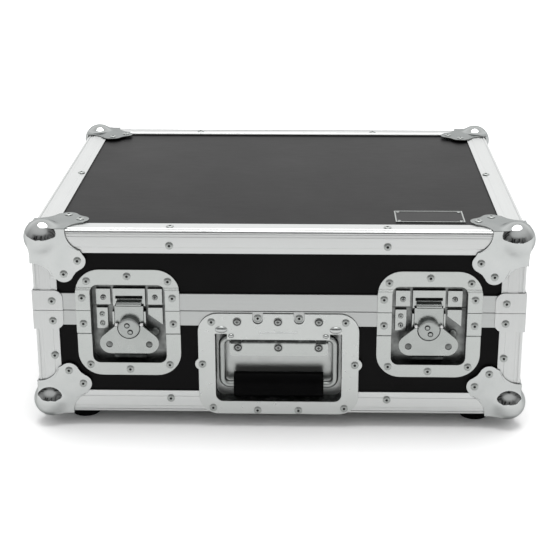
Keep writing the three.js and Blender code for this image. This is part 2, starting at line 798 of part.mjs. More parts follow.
function handleDish() {
  const over = -seatGap - handleSheet;
  const sheet = [over, -seatGap];
  const through = [over - cutOver, handleDepth];
  const flange = prism(
    "y",
    rounded([-handleHalfWidth, handleHalfWidth], [handleBottom, handleTop], Array(4).fill(handleCornerRadius)),
    sheet,
  );
  const ears = [-1, 1].map((sign) => {
    const across = sign * (handleHalfWidth + seatGap - sideEarRadius / 2);
    return rod("y", sideEarRadius, sheet, [across, sideEarRise], 16);
  });
  const notches = [-1, 1].map((sign) => {
    const x = sign * handleNotchAcross;
    const low = handleTop - handleNotchDrop;
    const round = rod("y", handleNotchRadius, [over - cutOver, cutOver], [x, low], 16);
    const mouth = block([x - handleNotchRadius, x + handleNotchRadius], [over - cutOver, cutOver], [low, handleTop + cutOver]);
    return joined(round, mouth);
  });
  const outer = handleOpenRadius + traySheet;
  const half = handleOpenHalf + traySheet;
  const tray = prism(
    "y",
    rounded([-half, half], [handleOpenBottom - traySheet, trayTop + traySheet], [outer, outer, 0, 0]),
    [-seatGap - handleSheet / 2, handleDepth + traySheet],
  );
  const r = handleOpenRadius;
  const hollow = prism(
    "y",
    rounded([-handleOpenHalf, handleOpenHalf], [handleOpenBottom, trayTop], [r, r, 0, 0]),
    [-seatGap, handleDepth],
  );
  const opening = cut(
    prism("y", rounded([-handleOpenHalf, handleOpenHalf], [handleOpenBottom, handleOpenTop], [r, r, 0, 0]), through),
    block([-coverHalfWidth, coverHalfWidth], [over - 2 * cutOver, -seatGap], [coverBottom, handleOpenTop + cutOver]),
  );
  return cut(joined(cut(flange, ...notches), tray, ...ears), hollow, opening);
}

function handleClamp() {
  const r = clampCornerRadius;
  const top = trayTop - runGap;
  const plate = prism(
    "y",
    rounded([-clampHalfWidth, clampHalfWidth], [clampBottom, top], [r, r, 0, 0]),
    [clampBack - clampSheet, handleDepth - seatGap],
  );
  const axis = [bailDepth, bailPivotRise];
  const heights = [bailPivotRise - saddleHalfHeight, bailPivotRise + saddleHalfHeight];
  const saddles = [[-saddleOuter, -saddleInner], [saddleInner, saddleOuter]].map(([x0, x1]) => cut(
    block([x0, x1], [saddleFront, clampBack], heights),
    rod("x", bailRadius + runGap, [x0 - cutOver, x1 + cutOver], axis),
  ));
  return joined(plate, ...saddles);
}

// A path that keeps its own points, so that its bends get as many rings as its straights
class PointPath extends THREE.Curve {
  constructor(points) {
    super();
    this.points = points;
  }

  getPoint(share) {
    const place = share * (this.points.length - 1);
    const at = Math.min(Math.floor(place), this.points.length - 2);
    return this.points[at].clone().lerp(this.points[at + 1], place - at);
  }

  getPointAt(share) {
    return this.getPoint(share);
  }

  getTangentAt(share) {
    return this.getTangent(share);
  }
}

function bail() {
  const bendLow = gripRise + bailBend;
  const bendHigh = bailPivotRise - bailBend;
  const bendIn = bailAcross - bailBend;
  const spine = [
    [bailEnd, bailPivotRise],
    ...arc([bendIn, bendHigh], bailBend, quarterDegrees, 0, 7),
    ...arc([bendIn, bendLow], bailBend, 0, -quarterDegrees, 7),
    [-cutOver, gripRise],
  ];
  const path = new PointPath(spine.map(([x, z]) => new THREE.Vector3(x, bailDepth, z)));
  const round = arc([0, 0], bailRadius, 0, 4 * quarterDegrees, 12).slice(1);
  const section = new THREE.Shape(round.map(([a, b]) => new THREE.Vector2(a, b)));
  const form = { steps: spine.length - 1, extrudePath: path, bevelEnabled: false };
  const half = solid(new THREE.ExtrudeGeometry(section, form));
  return joined(half, half.mirror([1, 0, 0]));
}

function handleGrip() {
  const round = arc([0, 0], 1, 0, 360, circleSteps).slice(1);
  const outline = round.map(([a, b]) => [bailDepth + a * gripHalfDepth, gripRise + b * gripHalfHeight]);
  const sleeve = prism("x", outline, [-gripHalfLength, gripHalfLength]);
  const ends = [-gripHalfLength - cutOver, gripHalfLength + cutOver];
  return cut(sleeve, rod("x", bailRadius + seatGap, ends, [bailDepth, gripRise], 12));
}

const handle = addGroup(flightCase, [0, frontFace, footHeight]);
addPart("handle_dish", handleDish(), zincSteel, handle);
addPart("handle_clamp_plate", handleClamp(), zincSteel, handle);
addPart("handle_bail", bail(), zincSteel, handle);
addPart("handle_grip", handleGrip(), grip, handle);

// Rear hinges, built as if on a front face and turned to the back

const hingeAxis = [-hingeOffset, hingeRise];

function knuckles(spans, radius, steps = 16) {
  return spans.map((span) => rod("x", radius, span, hingeAxis, steps));
}

function hingeLeafOf(sign, own, others) {
  const near = sign * halfParting;
  const far = sign * hingeLeaf;
  const form = joggle(hingeSheet, hingeHalfWidth, near, sign * hingeJoggle, far, panelFace);
  const r = hingeCornerRadius;
  const [low, high] = [Math.min(near, far), Math.max(near, far)];
  const radii = sign > 0 ? [0, 0, r, r] : [r, r, 0, 0];
  const outline = rounded([-hingeHalfWidth, hingeHalfWidth], [low, high], radii, 3);
  const plate = form.skin.intersect(prism("y", outline, [-cutOver - hingeSheet, panelFace]));
  const widened = others.map(([x0, x1]) => [x0 - seatGap, x1 + seatGap]);
  const bores = knuckles(own.map(([x0, x1]) => [x0 - cutOver, x1 + cutOver]), pinRadius + seatGap, 12);
  return cut(joined(cut(plate, ...knuckles(widened, barrelRadius + runGap)), ...knuckles(own, barrelRadius)), ...bores);
}

const lidKnuckles = [[-knuckleHalf, knuckleHalf]];
const baseKnuckles = [
  [-hingeHalfWidth, -knuckleHalf - runGap],
  [knuckleHalf + runGap, hingeHalfWidth],
];
for (const [side, sign] of [["left", -1], ["right", 1]]) {
  const hinge = addGroup(flightCase, [sign * hingeAcross, -frontFace, parting], 2 * quarterTurn);
  addPart(`${side}_hinge_lid_leaf`, hingeLeafOf(1, lidKnuckles, baseKnuckles), zincSteel, hinge);
  addPart(`${side}_hinge_base_leaf`, hingeLeafOf(-1, baseKnuckles, lidKnuckles), zincSteel, hinge);
  addPart(`${side}_hinge_pin`, rod("x", pinRadius, [-hingeHalfWidth, hingeHalfWidth], hingeAxis, 12), zincSteel, hinge);
}

// Foam: a cradle in the base and a lining in the lid, with room for the dishes behind the front

function foamPockets() {
  const gap = foamPocketGap;
  const latchBack = frontFace + latchPocketDepth + gap;
  const latchHeights = [
    parting - latchOpenBottom - latchSheet - gap,
    parting + latchOpenTop + latchSheet + gap,
  ];
  const latches = [-1, 1].map((sign) => {
    const x = sign * latchAcross;
    return block([x - latchPocketHalf - gap, x + latchPocketHalf + gap], [frontFace, latchBack], latchHeights);
  });
  const handleRoom = block(
    [-handlePocketHalf - gap, handlePocketHalf + gap],
    [frontFace, frontFace + handleDepth + traySheet + gap],
    [footHeight, footHeight + trayTop + traySheet + gap],
  );
  return [...latches, handleRoom];
}

function foamBlock([z0, z1], [hollowLow, hollowHigh]) {
  const x = caseWidth / 2 - panelEdge;
  const y = caseDepth / 2 - panelEdge;
  const hollow = rounded(
    [-x + foamWall, x - foamWall],
    [-y + foamWallFront, y - foamWallFront],
    Array(4).fill(foamRadius),
    4,
  );
  return cut(block([-x, x], [-y, y], [z0, z1]), prism("z", hollow, [hollowLow, hollowHigh]), ...foamPockets());
}

const foamBottom = footHeight + blockSize + seatGap;
const foamTop = lidTop - blockSize - seatGap;
addPart(
  "base_foam",
  foamBlock([foamBottom, parting - foamPartingDrop], [foamBottom + foamFloor, parting]),
  foam,
);
addPart(
  "lid_foam",
  foamBlock([parting + foamPartingDrop, foamTop], [parting, foamTop - lidFoamRoof]),
  foam,
);

export default flightCase;
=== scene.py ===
import logging
import math
from contextlib import contextmanager
from dataclasses import dataclass
from enum import Enum
from typing import Callable, Iterator, Optional, Sequence

import bpy
from mathutils import Matrix, Vector


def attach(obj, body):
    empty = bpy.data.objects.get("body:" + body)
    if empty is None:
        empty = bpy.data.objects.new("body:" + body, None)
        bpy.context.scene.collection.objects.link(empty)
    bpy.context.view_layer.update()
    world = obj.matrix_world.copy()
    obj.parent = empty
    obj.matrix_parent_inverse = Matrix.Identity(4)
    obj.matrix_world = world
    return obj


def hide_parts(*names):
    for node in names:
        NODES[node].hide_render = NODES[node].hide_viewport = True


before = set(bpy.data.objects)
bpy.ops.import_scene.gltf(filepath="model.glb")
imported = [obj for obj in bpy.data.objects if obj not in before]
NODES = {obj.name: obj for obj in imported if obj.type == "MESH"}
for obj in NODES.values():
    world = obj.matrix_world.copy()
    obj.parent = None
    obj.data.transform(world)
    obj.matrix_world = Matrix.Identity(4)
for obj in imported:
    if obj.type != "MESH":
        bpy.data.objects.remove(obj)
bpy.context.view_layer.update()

MM = 0.001
MERGE = 0.002 * MM
HERE = Matrix.Identity(4)
WIDTH, DEPTH = 520.0, 440.0
GROUND, PARTING, TOP = 16.0, 134.4, 224.0
Piece = bpy.types.Object
Point = tuple[float, float]
Triple = tuple[float, float, float]
FaceTest = Callable[[Vector, Vector], bool]
LATCH_ACROSS = 160.0
HINGE_ACROSS = 150.0
CORNERS = {"front_left": (-1, -1), "front_right": (1, -1), "back_right": (1, 1), "back_left": (-1, 1)}
log = logging.getLogger("flight_case")


class Body(Enum):
    """The bodies of the frame that pieces ride on."""

    BASE = "base"
    LID = "lid"
    BAIL = "bail"
    LEFT_HUB = "left_hub"
    LEFT_WING = "left_wing"
    LEFT_HOOK = "left_hook"
    RIGHT_HUB = "right_hub"
    RIGHT_WING = "right_wing"
    RIGHT_HOOK = "right_hook"


class Slot(Enum):
    """The record's material slots."""

    LAMINATE = "laminate"
    ALUMINIUM = "aluminium"
    CORNER = "corner_chrome"
    STEEL = "steel"
    GRIP = "grip_rubber"
    FOOT = "foot_rubber"
    FOAM = "foam"


def moved(x: float, y: float, z: float) -> Matrix:
    """A move by x, y and z, in millimetres."""
    return Matrix.Translation(Vector((x, y, z)) * MM)


def turned(degrees: float, axis: str) -> Matrix:
    """A turn about an axis."""
    return Matrix.Rotation(math.radians(degrees), 4, axis)


class Face(Enum):
    """The outer faces of the case, each with the turn that brings +Z out of it."""

    FRONT = turned(90, "X")
    BACK = turned(180, "Z") @ turned(90, "X")
    LEFT = turned(-90, "Z") @ turned(90, "X")
    RIGHT = turned(90, "Z") @ turned(90, "X")
    TOP = HERE
    BOTTOM = turned(180, "X")

    def at(self, x: float, y: float, z: float) -> Matrix:
        """The place at a point, in millimetres, with +Z out of this face."""
        return moved(x, y, z) @ self.value


# Shader maths


class Value:
    """A shader socket that takes part in Python sums."""

    def __init__(self, graph: "Graph", socket: bpy.types.NodeSocket) -> None:
        """Keeps the socket and the graph that it is in."""
        self.graph = graph
        self.socket = socket

    def _with(self, operation: str, first: object, second: object) -> "Value":
        """The result of a Math node's operation on two numbers or Values."""
        node = self.graph.node("ShaderNodeMath", {"operation": operation}, {0: first, 1: second})
        return Value(self.graph, node.outputs[0])

    def __add__(self, other: object) -> "Value":
        """self + other."""
        return self._with("ADD", self, other)

    def __radd__(self, other: object) -> "Value":
        """other + self."""
        return self._with("ADD", other, self)

    def __sub__(self, other: object) -> "Value":
        """self - other."""
        return self._with("SUBTRACT", self, other)

    def __rsub__(self, other: object) -> "Value":
        """other - self."""
        return self._with("SUBTRACT", other, self)

    def __mul__(self, other: object) -> "Value":
        """self * other."""
        return self._with("MULTIPLY", self, other)

    def __rmul__(self, other: object) -> "Value":
        """other * self."""
        return self._with("MULTIPLY", other, self)

    def __gt__(self, other: object) -> "Value":
        """1 where self is above other, or else 0."""
        return self._with("GREATER_THAN", self, other)

    def __pow__(self, other: object) -> "Value":
        """self to the power of other."""
        return self._with("POWER", self, other)

    def __abs__(self) -> "Value":
        """The size of self without its sign."""
        return self._with("ABSOLUTE", self, 0.0)

    def clamped(self) -> "Value":
        """Self, kept between 0 and 1."""
        return self._with("MAXIMUM", self._with("MINIMUM", self, 1.0), 0.0)


class Graph:
    """A node tree that is written as Python expressions."""

    def __init__(self, tree: bpy.types.NodeTree) -> None:
        """Starts from an empty tree."""
        self.tree = tree
        tree.nodes.clear()

    def node(self, kind: str, settings: Optional[dict] = None,
             inputs: Optional[dict] = None) -> bpy.types.Node:
        """Adds a node.

        Args:
            kind: the node's type.
            settings: its properties.
            inputs: what each socket takes, by name or number: a number, a colour, a Value or a socket.

        Returns:
            The node.
        """
        node = self.tree.nodes.new(kind)
        for name, setting in (settings or {}).items():
            setattr(node, name, setting)
        for name, value in (inputs or {}).items():
            if isinstance(value, Value):
                value = value.socket
            if isinstance(value, bpy.types.NodeSocket):
                self.tree.links.new(value, node.inputs[name])
            else:
                node.inputs[name].default_value = value
        return node

    def place(self) -> bpy.types.NodeSocket:
        """The point on the piece, in metres."""
        return self.node("ShaderNodeTexCoord").outputs["Object"]

    def stretched(self, scale: Sequence[float]) -> bpy.types.NodeSocket:
        """The point on the piece with its axes scaled."""
        mapping = self.node("ShaderNodeMapping", inputs={"Vector": self.place(), "Scale": tuple(scale)})
        return mapping.outputs["Vector"]

    def noise(self, scale: float, detail: float, vector: Optional[bpy.types.NodeSocket] = None) -> Value:
        """Noise with scale clouds to the metre and detail finer layers, read at vector or on the piece."""
        wires = {"Vector": vector or self.place(), "Scale": scale, "Detail": detail}
        return Value(self, self.node("ShaderNodeTexNoise", inputs=wires).outputs[0])

    def axes(self) -> tuple[Value, Value, Value]:
        """The x, y and z of the point on the piece, in metres."""
        split = self.node("ShaderNodeSeparateXYZ", inputs={0: self.place()})
        return tuple(Value(self, out) for out in split.outputs)

    def blend(self, factor: object, low: Sequence[float], high: Sequence[float]) -> bpy.types.NodeSocket:
        """The colour from low to high by factor."""
        wires = {0: factor, 6: (*low, 1.0), 7: (*high, 1.0)}
        return self.node("ShaderNodeMix", {"data_type": "RGBA"}, wires).outputs[2]

    def bump(self, height: object, strength: float, distance: float) -> bpy.types.NodeSocket:
        """The normal that a height from 0 to 1 gives, with a height of 1 at a distance in metres."""
        wires = {"Height": height, "Strength": strength, "Distance": distance}
        return self.node("ShaderNodeBump", inputs=wires).outputs[0]


# Finishes


@dataclass(frozen=True)
class Finish:
    """A finish of the case. Each kind draws its own surface."""

    name: str = "finish"

    def surface(self, graph: Graph) -> dict:
        """What the Principled BSDF's sockets take."""
        raise NotImplementedError

    def material(self) -> bpy.types.Material:
        """The material, made once and then reused."""
        known = bpy.data.materials.get(self.name)
        if known is not None:
            return known
        made = bpy.data.materials.new(self.name)
        made.use_nodes = True
        graph = Graph(made.node_tree)
        shader = graph.node("ShaderNodeBsdfPrincipled", inputs=self.surface(graph))
        graph.node("ShaderNodeOutputMaterial", inputs={"Surface": shader.outputs[0]})
        return made


@dataclass(frozen=True)
class Laminate(Finish):
    """Satin black laminate with a fine pebble, faint scuffs and a trace of dust."""

    name: str = "black_laminate"
    colour: Triple = (0.0016, 0.0015, 0.0016)
    dusty: Triple = (0.0040, 0.0039, 0.0040)
    roughness: float = 0.33
    cloud_scale: float = 9.0
    pebble_scale: float = 1400.0
    scuff_scale: float = 60.0

    def surface(self, graph: Graph) -> dict:
        """Pebble in the normal, scuffs and dust in roughness and colour."""
        clouds = graph.noise(self.cloud_scale, 4.0)
        pebble = graph.noise(self.pebble_scale, 2.0)
        scuffs = graph.noise(self.scuff_scale, 6.0, graph.stretched((1.0, 5.0, 2.0)))
        dust = ((clouds - 0.42) * 2.4).clamped()
        return {
            "Base Color": graph.blend(dust, self.colour, self.dusty),
            "Roughness": self.roughness + 0.10 * clouds + 0.07 * scuffs,
            "Normal": graph.bump(pebble, 0.16, 0.00006),
            "IOR": 1.17,
        }


@dataclass(frozen=True)
class Aluminium(Finish):
    """Anodised aluminium extrusion with fine die lines along its length."""

    name: str = "extruded_aluminium"
    colour: Triple = (0.49, 0.50, 0.495)
    pale: Triple = (0.59, 0.60, 0.595)
    roughness: float = 0.25
    upright: bool = False
    frame_width: float = 27.0
    line_scale: float = 900.0
    line_pull: float = 0.012
    mark_scale: float = 34.0

    def surface(self, graph: Graph) -> dict:
        """Die lines that follow the run of each extrusion, with soft handling marks."""
        if self.upright:
            lines = graph.noise(self.line_scale, 3.0, graph.stretched((1.0, 1.0, self.line_pull)))
        else:
            along_x = graph.noise(self.line_scale, 3.0, graph.stretched((self.line_pull, 1.0, 1.0)))
            along_y = graph.noise(self.line_scale, 3.0, graph.stretched((1.0, self.line_pull, 1.0)))
            at_side = abs(graph.axes()[0]) > (WIDTH / 2 - self.frame_width) * MM
            lines = along_x * (1.0 - at_side) + along_y * at_side
        marks = graph.noise(self.mark_scale, 5.0)
        return {
            "Base Color": graph.blend(lines * 0.6 + marks * 0.4, self.colour, self.pale),
            "Metallic": 1.0,
            "Roughness": self.roughness + 0.10 * marks + 0.06 * lines,
            "Normal": graph.bump(lines, 0.10, 0.00004),
        }


@dataclass(frozen=True)
class Chrome(Finish):
    """Bright nickel-chrome plate with smudges and hairline scratches."""

    name: str = "polished_chrome"
    colour: Triple = (0.39, 0.405, 0.40)
    pale: Triple = (0.47, 0.48, 0.475)
    roughness: float = 0.06
    smudge_scale: float = 70.0
    hair_scale: float = 1500.0

    def surface(self, graph: Graph) -> dict:
        """Smudges in roughness, hairlines in the normal."""
        smudge = graph.noise(self.smudge_scale, 4.0)
        hairs = graph.noise(self.hair_scale, 2.0, graph.stretched((1.0, 0.08, 0.5)))
        return {
            "Base Color": graph.blend(smudge, self.colour, self.pale),
            "Metallic": 1.0,
            "Roughness": self.roughness + 0.09 * (smudge ** 2.0) + 0.02 * hairs,
            "Specular Tint": (0.50, 0.51, 0.51, 1.0),
            "Normal": graph.bump(hairs, 0.05, 0.00002),
        }


@dataclass(frozen=True)
class ZincSteel(Finish):
    """Stamped steel sheet, zinc plated: satin, with a faint grain and cloudy patches."""

    name: str = "zinc_plated_steel"
    colour: Triple = (0.28, 0.295, 0.285)
    pale: Triple = (0.40, 0.415, 0.405)
    roughness: float = 0.17
    spread: float = 0.12
    metallic: float = 1.0
    patch_scale: float = 48.0
    grain_scale: float = 1300.0
    wave_scale: float = 22.0

    def surface(self, graph: Graph) -> dict:
        """Patches in colour and roughness, rolled grain and dents in the normal."""
        patches = graph.noise(self.patch_scale, 5.0)
        grain = graph.noise(self.grain_scale, 2.0, graph.stretched((1.0, 1.0, 0.15)))
        waves = graph.noise(self.wave_scale, 0.0)
        return {
            "Base Color": graph.blend(patches, self.colour, self.pale),
            "Metallic": self.metallic,
            "Roughness": self.roughness + self.spread * patches + 0.05 * grain,
            "Normal": graph.bump(0.03 * grain + waves, 0.25, 0.0004),
        }


@dataclass(frozen=True)
class DishSteel(ZincSteel):
    """The same steel in a recess, with painted shade where the piece's painted_shade attribute asks for it.
    """

    name: str = "recess_steel"
    shade_colour: Triple = (0.030, 0.032, 0.031)
    # Height in millimetres above which a painted shadow darkens the steel; 0 for none.
    above: float = 0.0
    shade_patch_scale: float = 150.0

    def surface(self, graph: Graph) -> dict:
        """The steel's surface, darker and duller where the painted_shade attribute paints shade, and above a
        height if one is set, where it paints a shadow.
        """
        wires = super().surface(graph)
        painted_shade = Value(graph, graph.node("ShaderNodeAttribute", {"attribute_name": "painted_shade"}).outputs["Fac"])
        # Above the given height the steel also darkens, a painted shadow.
        if self.above:
            painted_shade = painted_shade + ((graph.axes()[2] * 1000.0 - self.above) * 0.45).clamped()
        patches = graph.noise(self.shade_patch_scale, 4.0)
        shade_amount = (painted_shade * (0.62 + 0.76 * patches)).clamped()
        wires["Base Color"] = graph.blend(shade_amount, self.pale, self.shade_colour)
        wires["Roughness"] = self.roughness + 0.20 * shade_amount + 0.10 * patches
        return wires


@dataclass(frozen=True)
class PaintedShade(Finish):
    """Painted shade: a dark, dull finish on the insides of rivets, screw recesses, holes and grooves,
    standing in for the shade that falls in them.
    """

    name: str = "painted_shade_recess"
    colour: Triple = (0.004, 0.004, 0.004)
    pale: Triple = (0.012, 0.012, 0.012)
    speck_scale: float = 2500.0

    def surface(self, graph: Graph) -> dict:
        """Dark and dull, with specks."""
        specks = graph.noise(self.speck_scale, 2.0)
        return {"Base Color": graph.blend(specks, self.colour, self.pale), "Roughness": 0.6 + 0.3 * specks}


@dataclass(frozen=True)
class Rubber(Finish):
    """Moulded black rubber."""

    name: str = "moulded_rubber"
    colour: Triple = (0.0035, 0.0035, 0.0037)
    pale: Triple = (0.0070, 0.0070, 0.0073)
    roughness: float = 0.27
    grain: float = 0.25
    rub_scale: float = 40.0
    grain_scale: float = 1800.0

    def surface(self, graph: Graph) -> dict:
        """Fine moulded grain, with rubbed patches that shine a little more."""
        rubbed = graph.noise(self.rub_scale, 3.0)
        grain = graph.noise(self.grain_scale, 2.0)
        return {
            "Base Color": graph.blend(rubbed, self.colour, self.pale),
            "Roughness": self.roughness + 0.16 * rubbed,
            "Normal": graph.bump(grain, self.grain, 0.00008),
            "IOR": 1.09,
        }


@dataclass(frozen=True)
class CutFoam(Finish):
    """Charcoal foam with open cells and saw lines."""

    name: str = "charcoal_foam"
    colour: Triple = (0.012, 0.012, 0.013)
    pale: Triple = (0.036, 0.036, 0.039)
    cell_scale: float = 620.0
    fuzz_scale: float = 240.0

    def surface(self, graph: Graph) -> dict:
        """Cells in colour and normal."""
        cells = graph.node("ShaderNodeTexVoronoi", inputs={"Vector": graph.place(), "Scale": self.cell_scale})
        cell = Value(graph, cells.outputs[0])
        fuzz = graph.noise(self.fuzz_scale, 5.0)
        return {
            "Base Color": graph.blend((cell * 0.7 + fuzz * 0.5).clamped(), self.colour, self.pale),
            "Roughness": 0.92 + 0.06 * fuzz,
            "Normal": graph.bump(cell * 0.6 + fuzz, 0.7, 0.0006),
            "Specular IOR Level": 0.15,
        }


LAMINATE = Laminate()
LACQUER = Laminate(name="plate_lacquer", roughness=0.22)
ALUMINIUM = Aluminium()
RIM = Aluminium(name="parting_aluminium", colour=(0.35, 0.36, 0.355), pale=(0.43, 0.44, 0.435))
UPRIGHT = Aluminium(name="extruded_aluminium_upright", upright=True, roughness=0.36)
CHROME = Chrome()
ZINC = ZincSteel()
# DISH and TRAY darken where the painted_shade attribute marks painted shade.
DISH = DishSteel()
TRAY = DishSteel(
    name="tray_steel", colour=(0.36, 0.375, 0.365), pale=(0.48, 0.495, 0.485), roughness=0.24, metallic=0.80)
# CLAMP paints a shadow on the clamp plate above 90.8 mm, under the handle's cover.
CLAMP = DishSteel(name="clamp_steel_painted_shadow", above=90.8)
HEAD = ZincSteel(name="screw_steel", colour=(0.16, 0.165, 0.16), pale=(0.30, 0.31, 0.305), roughness=0.16)
RIVET = ZincSteel(name="rivet_steel", roughness=0.28)
# Painted shade for the insides of rivets, screw recesses, holes and grooves.
PAINTED_SHADE = PaintedShade()
GRIP = Rubber(colour=(0.0012, 0.0012, 0.0013), pale=(0.0028, 0.0028, 0.0030), roughness=0.30)
FOOT = Rubber(name="soft_foot_rubber", roughness=0.62, grain=0.5)
FOAM = CutFoam()


# Bench work: small steps that the classes share


def deselect() -> None:
    """Leaves edit mode and clears the selection."""
    if bpy.context.object is not None and bpy.context.object.mode != "OBJECT":
        bpy.ops.object.mode_set(mode="OBJECT")
    bpy.ops.object.select_all(action="DESELECT")


def take(*pieces: Piece) -> Piece:
    """Selects pieces, makes the first one active and returns it."""
    deselect()
    for piece in pieces:
        piece.select_set(True)
    bpy.context.view_layer.objects.active = pieces[0]
    return pieces[0]


@contextmanager
def editing(piece: Piece, mode: str = "FACE") -> Iterator[None]:
    """Opens a piece in edit mode and closes it again.

    Args:
        piece: the piece to work on.
        mode: what is selected, VERT, EDGE or FACE.
    """
    take(piece)
    bpy.ops.object.mode_set(mode="EDIT")
    bpy.ops.mesh.select_mode(type=mode)
    yield
    bpy.ops.object.mode_set(mode="OBJECT")


def pick(piece: Piece, test: FaceTest) -> None:
    """Selects the faces that pass a test of their centre, in millimetres, and their normal."""
    take(piece)
    bpy.context.tool_settings.mesh_select_mode = (False, False, True)
    mesh = piece.data
    for part in (mesh.vertices, mesh.edges):
        part.foreach_set("select", [False] * len(part))
    for face in mesh.polygons:
        face.select = bool(test(face.center / MM, face.normal))


def settle(piece: Piece, place: Matrix = HERE) -> Piece:
    """Moves a piece's own place into its mesh, and then by a further place."""
    bpy.context.view_layer.update()
    piece.data.transform(place @ piece.matrix_world)
    piece.matrix_world = HERE
    return piece


def copied(model: Piece, name: str, place: Matrix) -> Piece:
    """A copy of a model with its own mesh, at a place."""
    piece = model.copy()
    piece.data = model.data.copy()
    piece.name = name
    bpy.context.scene.collection.objects.link(piece)
    return settle(piece, place)


def joined(name: str, pieces: Sequence[Piece]) -> Piece:
    """Several pieces as one."""
    whole = take(*pieces)
    if len(pieces) > 1:
        bpy.ops.object.join()
    whole.name = name
    return whole


def discard(*pieces: Piece) -> None:
    """Takes models and cutters off the bench."""
    for piece in pieces:
        bpy.data.objects.remove(piece, do_unlink=True)


def bevelled(piece: Piece, width: float, segments: int = 2, angle: float = 30.0) -> Piece:
    """Rounds the sharp edges of a piece.

    Args:
        piece: the piece.
        width: the width of the round, in millimetres.
        segments: how many faces go across it.
        angle: an edge sharper than this is rounded, in degrees.

    Returns:
        The piece.
    """
    take(piece)
    edge = piece.modifiers.new("edges", "BEVEL")
    edge.width = width * MM
    edge.segments = segments
    edge.limit_method = "ANGLE"
    edge.angle_limit = math.radians(angle)
    edge.miter_outer = "MITER_ARC"
    bpy.ops.object.modifier_apply(modifier=edge.name)
    return piece


def carved(piece: Piece, *cutters: Piece) -> Piece:
    """Cuts cutters from a piece and takes them off the bench."""
    for cutter in cutters:
        take(piece)
        step = piece.modifiers.new("carve", "BOOLEAN")
        step.operation = "DIFFERENCE"
        step.solver = "EXACT"
        step.object = cutter
        bpy.ops.object.modifier_apply(modifier=step.name)
        discard(cutter)
    return piece


def smoothed(piece: Piece, angle: float = 35.0) -> Piece:
    """Shades a piece smooth but for its sharp edges, with its broad faces kept flat."""
    take(piece)
    bpy.ops.object.shade_smooth_by_angle(angle=math.radians(angle))
    flats = piece.modifiers.new("flats", "WEIGHTED_NORMAL")
    flats.keep_sharp = True
    bpy.ops.object.modifier_apply(modifier=flats.name)
    return piece


def tidied(piece: Piece) -> Piece:
    """Merges doubled points and points every face out."""
    with editing(piece, "VERT"):
        bpy.ops.mesh.select_all(action="SELECT")
        bpy.ops.mesh.remove_doubles(threshold=MERGE)
        bpy.ops.mesh.normals_make_consistent(inside=False)
    return piece


def stepped(piece: Piece, *steps: Point, sink: float = 0.0, facing: int = 1) -> Piece:
    """Insets the top face of a blank step by step.

    Args:
        piece: the blank, standing on z = 0.
        steps: the width and the rise of each step, in millimetres.
        sink: how deep the face goes after the last step, in millimetres.
        facing: 1 for the top face, -1 for the underside.

    Returns:
        The blank.
    """
    pick(piece, lambda centre, normal: normal.z * facing > 0.9)
    with editing(piece):
        for width, rise in steps:
            bpy.ops.mesh.inset(thickness=width * MM, depth=rise * MM)
        if sink:
            bpy.ops.mesh.extrude_region_move(TRANSFORM_OT_translate={"value": (0, 0, -sink * facing * MM)})
    return piece


def toned(piece: Piece, outer: Finish, inner: Finish, inside: FaceTest) -> Piece:
    """Gives a piece two finishes.

    Args:
        piece: the piece.
        outer: the finish of most of it.
        inner: the finish of the faces that pass the test.
        inside: the test of a face's centre, in millimetres, and its normal.

    Returns:
        The piece.
    """
    for finish in (outer, inner):
        piece.data.materials.append(finish.material())
    for face in piece.data.polygons:
        face.material_index = int(inside(face.center / MM, face.normal))
    return piece


def box(low: Sequence[float], high: Sequence[float]) -> Piece:
    """A block between two corners, in millimetres, as a start or a cutter."""
    deselect()
    bpy.ops.mesh.primitive_cube_add(size=1.0, location=[(a + b) / 2 * MM for a, b in zip(low, high)])
    piece = bpy.context.object
    piece.scale = [(b - a) * MM for a, b in zip(low, high)]
    return settle(piece)


def disc(radius: float, height: float, sides: int, place: Matrix = HERE) -> Piece:
    """A round blank that stands on the z = 0 of a place, in millimetres."""
    deselect()
    bpy.ops.mesh.primitive_cylinder_add(
        vertices=sides, radius=radius * MM, depth=height * MM, location=(0, 0, height / 2 * MM))
    return settle(bpy.context.object, place)


def plate(outline: Sequence[Point], thickness: float) -> Piece:
    """A flat plate with the given outline that stands on z = 0, in millimetres."""
    deselect()
    bpy.ops.mesh.primitive_circle_add(vertices=len(outline), radius=MM, fill_type="NGON")
    piece = bpy.context.object
    for corner, (a, b) in zip(piece.data.vertices, outline):
        corner.co = (a * MM, b * MM, 0)
    with editing(piece):
        bpy.ops.mesh.select_all(action="SELECT")
        bpy.ops.mesh.extrude_region_move(TRANSFORM_OT_translate={"value": (0, 0, thickness * MM)})
    return settle(tidied(piece))


def wrapped(rings: Sequence[Sequence[Sequence[float]]], capped: bool = True) -> Piece:
    """A grid wrapped round a row of rings with the same number of points, in millimetres.

    Args:
        rings: the points of each ring, in order.
        capped: whether the first and last rings are closed with a face.

    Returns:
        The closed piece.
    """
    around = len(rings[0])
    deselect()
    bpy.ops.mesh.primitive_grid_add(x_subdivisions=around, y_subdivisions=len(rings) - 1, size=MM)
    piece = bpy.context.object
    corners = iter(piece.data.vertices)
    for ring in rings:
        for step in range(around + 1):
            next(corners).co = Vector(ring[step % around]) * MM
    tidied(piece)
    if capped:
        with editing(piece, "EDGE"):
            bpy.ops.mesh.select_all(action="DESELECT")
            bpy.ops.mesh.select_non_manifold()
            bpy.ops.mesh.fill_holes(sides=0)
        tidied(piece)
    return piece


def arc(centre: Point, radius: float, start: float, end: float, steps: int) -> list[Point]:
    """Points along an arc, from one angle to another in degrees."""
    turn = [math.radians(start + (end - start) * step / steps) for step in range(steps + 1)]
    return [(centre[0] + radius * math.cos(a), centre[1] + radius * math.sin(a)) for a in turn]


def circle_at(radius: float, sides: int, place: Matrix) -> list[Vector]:
    """The points of a ring of a given radius, in millimetres, in the plane of a place."""
    turns = [2 * math.pi * step / sides for step in range(sides)]
    return [place @ Vector((radius * math.cos(a), radius * math.sin(a), 0)) for a in turns]


